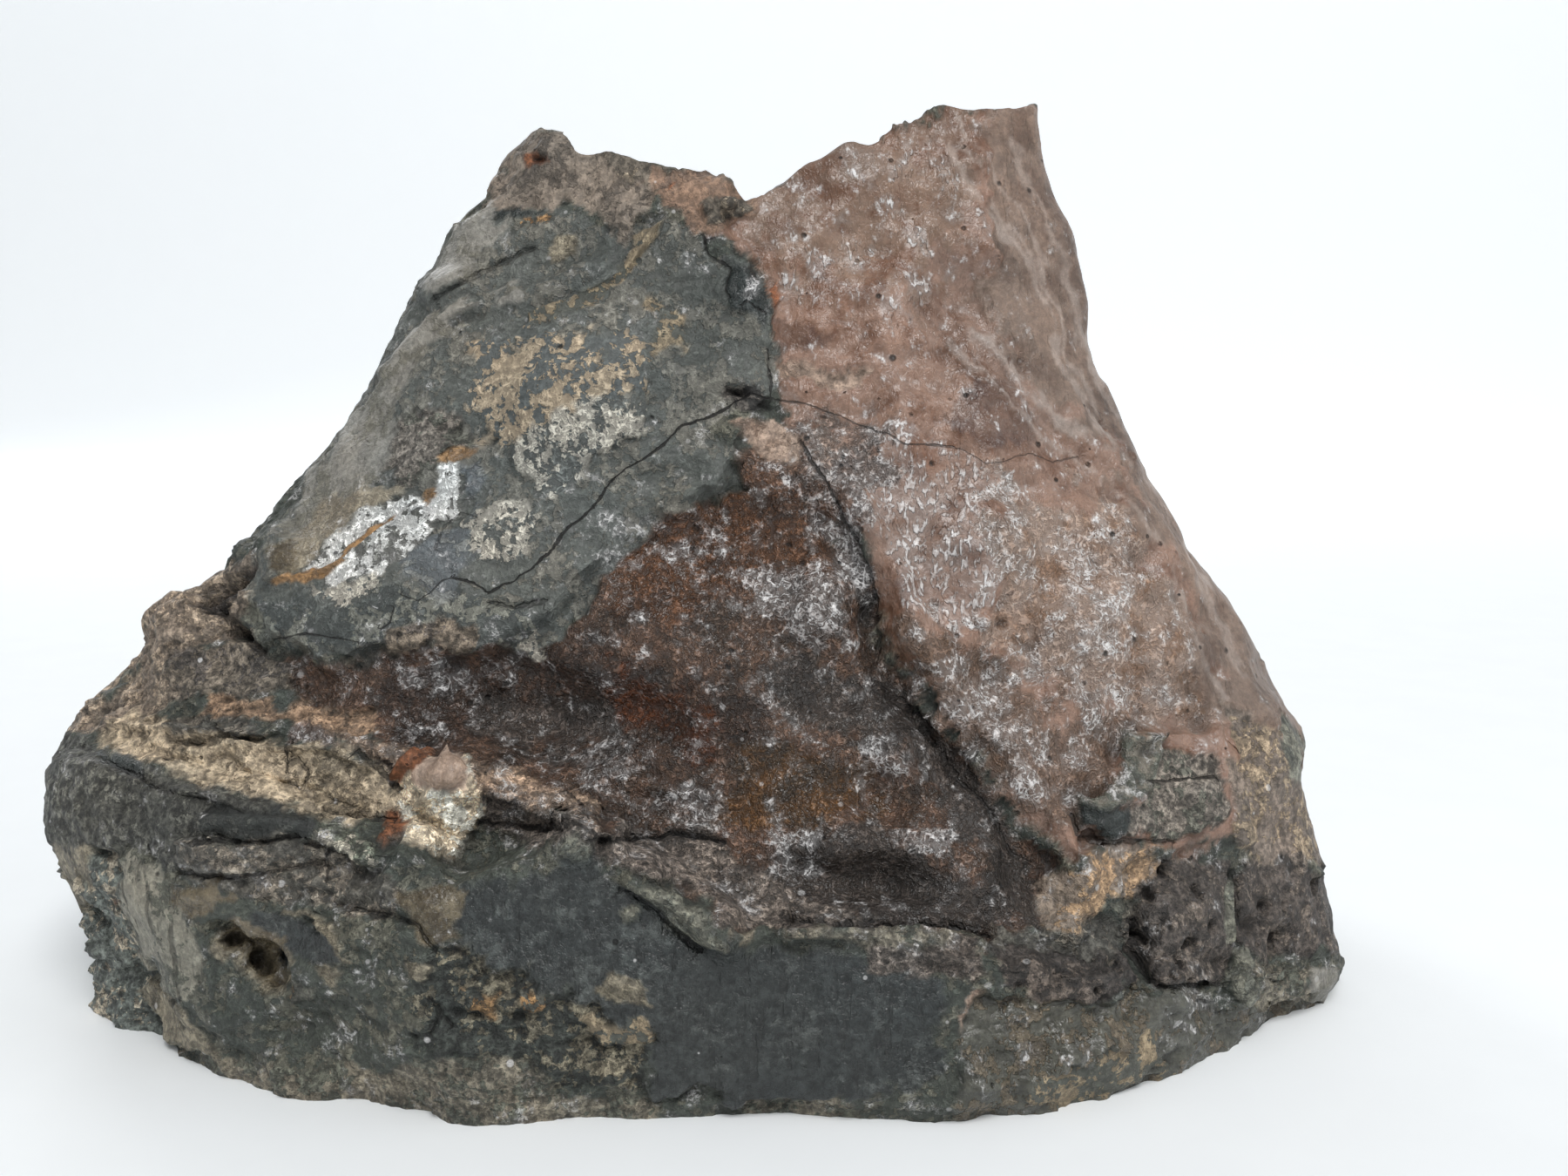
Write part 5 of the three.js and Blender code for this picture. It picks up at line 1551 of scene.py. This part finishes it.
def weathered_rind():
    """Two patchy tones, pale threads with painted glints, painted shade in cracks, pits and hollows, from the
    mesh's own values.
    """
    material, shader, _ = new_material("weathered_rind")
    place = add(shader, "TexCoord", {}, "Object")

    def stored(name, result="Vector"):
        return add(shader, "Attribute", {}, result, attribute_name=name)

    cover, frost, rough = stored("finish").axes()
    grain, grit, pits = stored("texture").axes()
    crisp, streak, shade = stored("habit").axes()
    side, near, _ = stored("marks").axes()

    bend = place.noise(*WORM_NOISE) - MIDDLE
    fine = place.noise(*FINE_NOISE)
    clumps = place.noise(*CLUMP_NOISE)
    sandy = place.noise(*SAND_NOISE)
    worms = abs(bend).scaled(*WORM_LINE) * sandy.scaled(*WORM_GAPS)
    grass = abs(sandy - MIDDLE).scaled(*GRASS_LINE) * fine.scaled(*GRASS_GAPS)
    web = worms.or_more(grass)

    # the two tones
    raggedness = (bend + (fine - MIDDLE)) * crisp * PATCH_RAGGED
    edge = crisp.between(*SOFT_OR_CRISP)
    crust = share_over(place.noise(*PATCH_NOISE) + raggedness, cover, edge)
    colour = stored("tone", "Color").painted(crust, stored("second", "Color"))
    tint = place.noise(*BROAD_NOISE).scaled(*TINT_CHANGE).between_tones(COOL_TINT, WARM_TINT)
    colour = colour.painted(1.0, tint, "MULTIPLY")
    contrast = grit.scaled(*GRIT_CONTRAST)
    threaded = grain.or_more(crust * crisp * CRUST_THREADS)
    mottle = contrast.between(1.0, fine.scaled(*MOTTLE))
    speckle = contrast.between(1.0, sandy.scaled(*SPECKLE))
    # Painted light on the thread ridges and painted shade in the valleys between them.
    thread_light_and_shade = threaded.between(1.0, web.scaled(*RIDGE_LIGHT))
    colour = colour.painted(1.0, (mottle * speckle * thread_light_and_shade).as_grey(), "MULTIPLY")

    # painted glints: pale threads on a grainy surface, upright drops on a smooth one
    drops = place.stretched(*DROP_STRETCH).noise(*DROP_NOISE).scaled(*DROPS)
    spark = grain.scaled(*GRAINY).between(drops, web)
    glint_veil = share_over(clumps, frost, GLINT_EDGE) * frost.scaled(*GLINT_START)
    # Painted shade in the gaps between the glints.
    gap_shade = glint_veil * spark.turned_over()
    colour = colour.painted(gap_shade * GAP_SHADE, SHADE_TONE)
    # Painted glints: pale highlights laid on the threads and drops.
    glint = glint_veil * spark.scaled(*GLINT_LIGHT) * clumps.scaled(*GLINT_CLUMPS)
    colour = colour.painted(glint, GLINT_TONE)

    # pits, with painted shade, and pale crumbs painted as glints of tiny facets, at most one to a cell
    cell = {"Vector": place, "Scale": SPOTS_PER_METRE, "Randomness": 1.0}
    spots = add(shader, "TexVoronoi", cell, "Distance")
    chance, size, _ = spots.beside("Color").axes()
    relative = spots / size.scaled(*SPOT_SIZE)
    pit = relative.scaled(*PIT_WALL) * (chance < pits) * clumps.scaled(*PIT_CLUMPS)
    crumb_glint = (chance > CRUMB_CHANCE) * contrast * relative.scaled(*CRUMB_WALL)
    colour = colour.painted(crumb_glint, GLINT_TONE)

    # upright rills, cracks and hollows, with painted shade in them
    rill = place.stretched(*RILL_STRETCH).noise(*RILL_NOISE).scaled(*RILLS) * streak
    from_crack = abs(side + bend * CRACK_WANDER) * clumps.scaled(*CRACK_WIDTH)
    crack = from_crack.scaled(*CRACK_WALL) * near
    # Painted shade: the darkest of pits, cracks, rills and hollows.
    painted_shade = (pit * PIT_DARK).or_more(crack * CRACK_DARK).or_more(rill * RILL_DARK).or_more(shade * SHADE_DARK)

    bumps = dict(
        web=web * threaded, drops=drops * frost, low=place.noise(*LOW_NOISE), sand=sandy * grit,
        crust=crust * crisp, pit=pit, crack=crack, rill=rill,
    )
    height = sum((bumps[key] * rise for key, rise in RELIEF.items()), fine * grit.between(*FINE_RELIEF))
    fill(shader, {
        "Base Color": colour.painted(painted_shade, SHADE_TONE),
        "Roughness": rough + painted_shade * DULL_IN_SHADE,
        "Normal": add(shader, "Bump", {"Height": height, "Strength": 1.0, "Distance": BUMP_DISTANCE}),
    })
    return material


def amethyst():
    """Clear quartz, pale at the root of each crystal and violet at its tip."""
    material, shader, output = new_material("amethyst")
    zone = add(shader, "Attribute", {}, "Fac", attribute_name="zone")
    cloud = add(shader, "TexCoord", {}, "Object").noise(*CLOUD_NOISE)
    violet = (zone + (cloud - MIDDLE) * QUARTZ_CLOUDS).scaled(*QUARTZ_ZONES)
    fill(shader, {
        "Base Color": violet.between_tones(PALE_QUARTZ, VIOLET_QUARTZ),
        "Transmission Weight": QUARTZ_CLEAR,
        "IOR": QUARTZ_INDEX,
        "Roughness": QUARTZ_ROUGHNESS,
    })
    depth = add(shader, "VolumeAbsorption", {"Color": DEEP_VIOLET, "Density": QUARTZ_DENSITY})
    fill(output, {"Volume": depth})
    return material


def pale_cloth():
    """A white cloth that glows, as painted light, more towards its top and its right."""
    material, shader, _ = new_material("pale_cloth")
    place = add(shader, "TexCoord", {}, "Object")
    across, away, _ = place.axes()
    weave = place.noise(*WEAVE_NOISE).scaled(*WEAVE_LIGHT)
    fill(shader, {
        "Base Color": weave.as_grey().painted(1.0, CLOTH_TONE, "MULTIPLY"),
        "Roughness": CLOTH_ROUGHNESS,
        # Painted light: the cloth glows, more towards its back and its right.
        "Emission Color": CLOTH_GLOW,
        "Emission Strength": (across.scaled(*CLOTH_ACROSS) + CLOTH_LIGHT) * away.scaled(*CLOTH_AWAY),
    })
    return material


# ------------------------------------------------------------------ meshes


def placed(name, data):
    """A new object in the scene."""
    made = bpy.data.objects.new(name, data)
    bpy.context.scene.collection.objects.link(made)
    return made


def piece(name, points, triangles, material, normals=None):
    """A shown mesh that stands for the CAD solid."""
    mesh = bpy.data.meshes.new(name)
    mesh.vertices.add(len(points))
    mesh.vertices.foreach_set("co", to_row_frame(points).astype(np.float32).ravel())
    mesh.loops.add(triangles.size)
    mesh.loops.foreach_set("vertex_index", triangles.astype(np.int32).ravel())
    mesh.polygons.add(len(triangles))
    mesh.polygons.foreach_set("loop_start", np.arange(0, triangles.size, 3, dtype=np.int32))
    mesh.update(calc_edges=True)
    mesh.validate()
    mesh.materials.append(material)
    mesh.polygons.foreach_set("use_smooth", np.full(len(triangles), normals is not None))
    if normals is not None:
        mesh.normals_split_custom_set(normals.reshape(-1, 3))
    made = placed(name, mesh)
    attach(made, "root")
    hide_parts(NODE)
    return made


def give(mesh, name, values):
    """Stores one value per vertex, a number, a vector or a colour."""
    values = np.asarray(values, np.float32)
    width = 1 if values.ndim == 1 else values.shape[1]
    kind, field = {1: ("FLOAT", "value"), 3: ("FLOAT_VECTOR", "vector"), 4: ("FLOAT_COLOR", "color")}[width]
    mesh.attributes.new(name, kind, "POINT").data.foreach_set(field, values.ravel())


def with_alpha(colours):
    return np.hstack([colours, np.ones((len(colours), 1))])


def add_stone():
    grid, points, normals, coat, marks = finished_stone()
    material = weathered_rind()
    values = dict(
        tone=with_alpha(coat["tone"]),
        second=with_alpha(coat["second"]),
        finish=np.hstack([coat[key] for key in ("cover", "frost", "rough")]),
        texture=np.hstack([coat[key] for key in ("grain", "grit", "pits")]),
        habit=np.hstack([coat["crisp"], coat["streak"], marks["shade"][:, None]]),
        marks=np.stack([marks["side"], marks["near"], np.zeros(len(points))], -1),
    )
    for name, parts in STONE_PIECES.items():
        triangles = np.concatenate([grid[part] for part in parts])
        under = np.repeat([part == "base" for part in parts], [len(grid[part]) for part in parts])
        corner_normals = np.where(under[:, None, None], (0, 0, -1), normals[triangles])
        used, local = np.unique(triangles, return_inverse=True)
        made = piece(name, points[used], local.reshape(-1, 3), material, corner_normals)
        for key, value in values.items():
            give(made.data, key, value[used])


# ------------------------------------------------------------------ crystals

EXACT = 1e-6
ON_FACE = 1e-3
TIP_LEAN = 0.5  # in radii
UNEQUAL_FACES = 0.16  # in radii
CRYSTAL_ROOM = 0.8  # share of a large crystal's radius that small ones keep clear of
SMALL_SUNK = 0.4
HALVINGS = 16


def quartz_shape(radius, tip, pushes, turn):
    """Corners and faces of a six-sided crystal that stands on the origin along Z."""
    angles = turn + np.arange(6) * math.pi / 3
    around = np.stack([np.cos(angles), np.sin(angles), np.zeros(6)], -1)
    wall = radius * math.cos(math.pi / 6)
    slope = around * math.cos(FACE_ANGLE) + (0, 0, math.sin(FACE_ANGLE))
    normals = np.vstack([around, slope, [(0, 0, -1)]])
    reach = np.concatenate([np.full(6, wall), slope @ tip + pushes * radius, [CRYSTAL_ROOT]])
    triples = np.array([(i, j, k) for i in range(13) for j in range(i) for k in range(j)])
    matrices = normals[triples]
    solvable = np.abs(np.linalg.det(matrices)) > EXACT
    triples, matrices = triples[solvable], matrices[solvable]
    corners = np.linalg.solve(matrices, reach[triples][..., None])[..., 0]
    inside = np.all(corners @ normals.T <= reach + EXACT, axis=1)
    corners = corners[inside]
    _, first = np.unique(np.round(corners, 4), axis=0, return_index=True)
    corners = corners[np.sort(first)]

    faces = []
    for normal, limit in zip(normals, reach):
        on = np.flatnonzero(np.abs(corners @ normal - limit) < ON_FACE)
        if len(on) < 3:
            continue
        spokes = corners[on] - corners[on].mean(0)
        first_axis = spokes[0] / np.linalg.norm(spokes[0])
        other_axis = np.cross(normal, first_axis)
        ring = on[np.argsort(np.arctan2(spokes @ other_axis, spokes @ first_axis))]
        faces += [(ring[0], ring[k], ring[k + 1]) for k in range(1, len(ring) - 1)]
    return corners, np.array(faces)


def turned_to(points, direction):
    """Points turned so that Z comes to lie along a direction."""
    axis = np.cross((0, 0, 1), direction)
    cross = np.array([[0, -axis[2], axis[1]], [axis[2], 0, -axis[0]], [-axis[1], axis[0], 0]])
    matrix = np.eye(3) + cross + cross @ cross / (1 + direction[2])
    return points @ matrix.T


def row_at_height(share, height):
    """Row of the stone's grid at a share of the full height, on the hidden side."""
    low, high = np.zeros_like(share), np.full_like(share, TOP_ROW)
    for _ in range(HALVINGS):
        middle = (low + high) / 2
        below = bed_point(share, middle)[..., 2] < height * straight(BACK_RIM, share)
        low, high = np.where(below, middle, low), np.where(below, high, middle)
    return low


def crystal_sites(spacing, jitter, margin):
    """Places for crystals over the hidden side, row after row."""
    row_height = spacing * math.sqrt(3) / 2
    reach = int(HALF_SPAN / spacing)
    j, i = np.mgrid[0 : math.ceil(HEIGHT / row_height), -reach : reach + 1]
    i, j = i.ravel(), j.ravel()
    x = (i + (j % 2) / 2) * spacing + jitter * (scatter(i, j, 1) - 0.5)
    z = LOWEST_CRYSTAL + j * row_height + jitter * (scatter(i, j, 2) - 0.5)
    left, right = straight(LEFT_EDGE, z), straight(RIGHT_EDGE, z)
    share = (x - left) / (right - left)
    open_way = clearance(x, z, share)
    i, j, z, share, open_way = (values[open_way > margin] for values in (i, j, z, share, open_way))
    row = row_at_height(share, z / straight(BACK_RIM, share))
    outward = facing(bed_point, share, row, -1)
    for axis, seed in ((0, 3), (2, 4)):
        outward[:, axis] += CRYSTAL_LEAN * (2 * scatter(i, j, seed) - 1)
    outward /= np.linalg.norm(outward, axis=1, keepdims=True)
    return dict(i=i, j=j, foot=bed_point(share, row), outward=outward, clearance=open_way)


def crystal_at(sites, n, radius, sunk=0.0):
    i, j = sites["i"][n], sites["j"][n]
    prism = radius * (PRISM_SHARE[0] + PRISM_SHARE[1] * scatter(i, j, 6))
    lean = TIP_LEAN * radius * np.array([scatter(i, j, 7) - 0.5, scatter(i, j, 8) - 0.5])
    tip = np.array([*lean, prism + TIP_SLOPE * radius])
    pushes = np.array([0.0, UNEQUAL_FACES] * 3) * scatter(i, np.arange(6) + j, 10)
    pushes -= pushes.mean()
    corners, faces = quartz_shape(radius, tip, pushes, 2 * math.pi * scatter(i, j, 9))
    zone = corners[:, 2] / tip[2]
    outward = sites["outward"][n]
    return turned_to(corners, outward) + sites["foot"][n] - sunk * outward, faces, zone


def add_crystals():
    """The large crystals of the CAD solid, and the small ones that fill the gaps between them."""
    large = crystal_sites(CRYSTAL_SPACING, CRYSTAL_JITTER, BED_MARGIN + EDGE_GAP)
    crowding = np.minimum(1, large["clearance"] / EDGE_CRYSTAL_REACH)
    spread = scatter(large["i"], large["j"], 5) ** 2
    radii = crowding * (CRYSTAL_RADIUS[0] + CRYSTAL_RADIUS[1] * spread)
    made = [crystal_at(large, n, radius) for n, radius in enumerate(radii)]

    small = crystal_sites(SMALL_SPACING, SMALL_JITTER, BED_MARGIN)
    for n, foot in enumerate(small["foot"]):
        gap = np.linalg.norm(large["foot"] - foot, axis=1) - CRYSTAL_ROOM * radii
        if gap.min() > 0:
            size = scatter(small["i"][n], small["j"][n], 5)
            radius = SMALL_RADIUS[0] + SMALL_RADIUS[1] * size**2
            made.append(crystal_at(small, n, radius, SMALL_SUNK))

    offsets = np.cumsum([0] + [len(corners) for corners, _, _ in made])
    points = np.vstack([corners for corners, _, _ in made])
    triangles = np.vstack([faces + offset for (_, faces, _), offset in zip(made, offsets)])
    points[:, 2] = np.maximum(points[:, 2], SAWN_LEVEL)
    cluster = piece("amethyst_crystals", points, triangles, amethyst())
    give(cluster.data, "zone", np.concatenate([zone for _, _, zone in made]))


# ------------------------------------------------------------------ camera, light and floor


def add_camera():
    camera = placed("camera", bpy.data.cameras.new("camera"))
    camera.data.lens = LENS
    camera.data.sensor_width = SENSOR
    camera.data.clip_start, camera.data.clip_end = CLIP
    camera.location = to_row_frame(CAMERA_PLACE)
    camera.rotation_euler = (math.pi / 2 - PITCH_DOWN, 0, 0)
    bpy.context.scene.camera = camera


def add_backdrop():
    """A pale floor that curves up behind the object."""
    turn = np.linspace(0, math.pi / 2, SWEEP_LINES)
    depths = [-SWEEP_FRONT] + list(SWEEP_BACK + SWEEP_RADIUS * np.sin(turn))
    heights = [0] + list(SWEEP_RADIUS * (1 - np.cos(turn)))
    depths.append(depths[-1])
    heights.append(SWEEP_HEIGHT)
    points = [(x, y, z) for y, z in zip(depths, heights) for x in (-SWEEP_WIDTH, SWEEP_WIDTH)]
    faces = [(2 * k, 2 * k + 1, 2 * k + 3, 2 * k + 2) for k in range(len(depths) - 1)]
    mesh = bpy.data.meshes.new("backdrop")
    mesh.from_pydata(points, [], faces)
    mesh.polygons.foreach_set("use_smooth", [True] * len(faces))
    mesh.materials.append(pale_cloth())
    backdrop = placed("backdrop", mesh)


def add_light(name, place, target, size, power, colour):
    light = bpy.data.lights.new(name, "AREA")
    light.shape = "RECTANGLE"
    light.size, light.size_y = size
    light.energy = power
    light.color = colour
    lamp = placed(name, light)
    lamp.location = place
    away = Vector(place) - Vector(target)
    lamp.rotation_euler = away.to_track_quat("Z", "Y").to_euler()


def add_lights():
    world = bpy.data.worlds.new("world")
    world.use_nodes = True
    fill(world.node_tree.nodes["Background"], {"Color": SKY_TONE, "Strength": SKY_STRENGTH})
    bpy.context.scene.world = world
    for light in LIGHTS:
        add_light(*light)


add_stone()
add_crystals()
add_backdrop()
add_lights()
add_camera()
bpy.context.scene.view_settings.view_transform = "Standard"
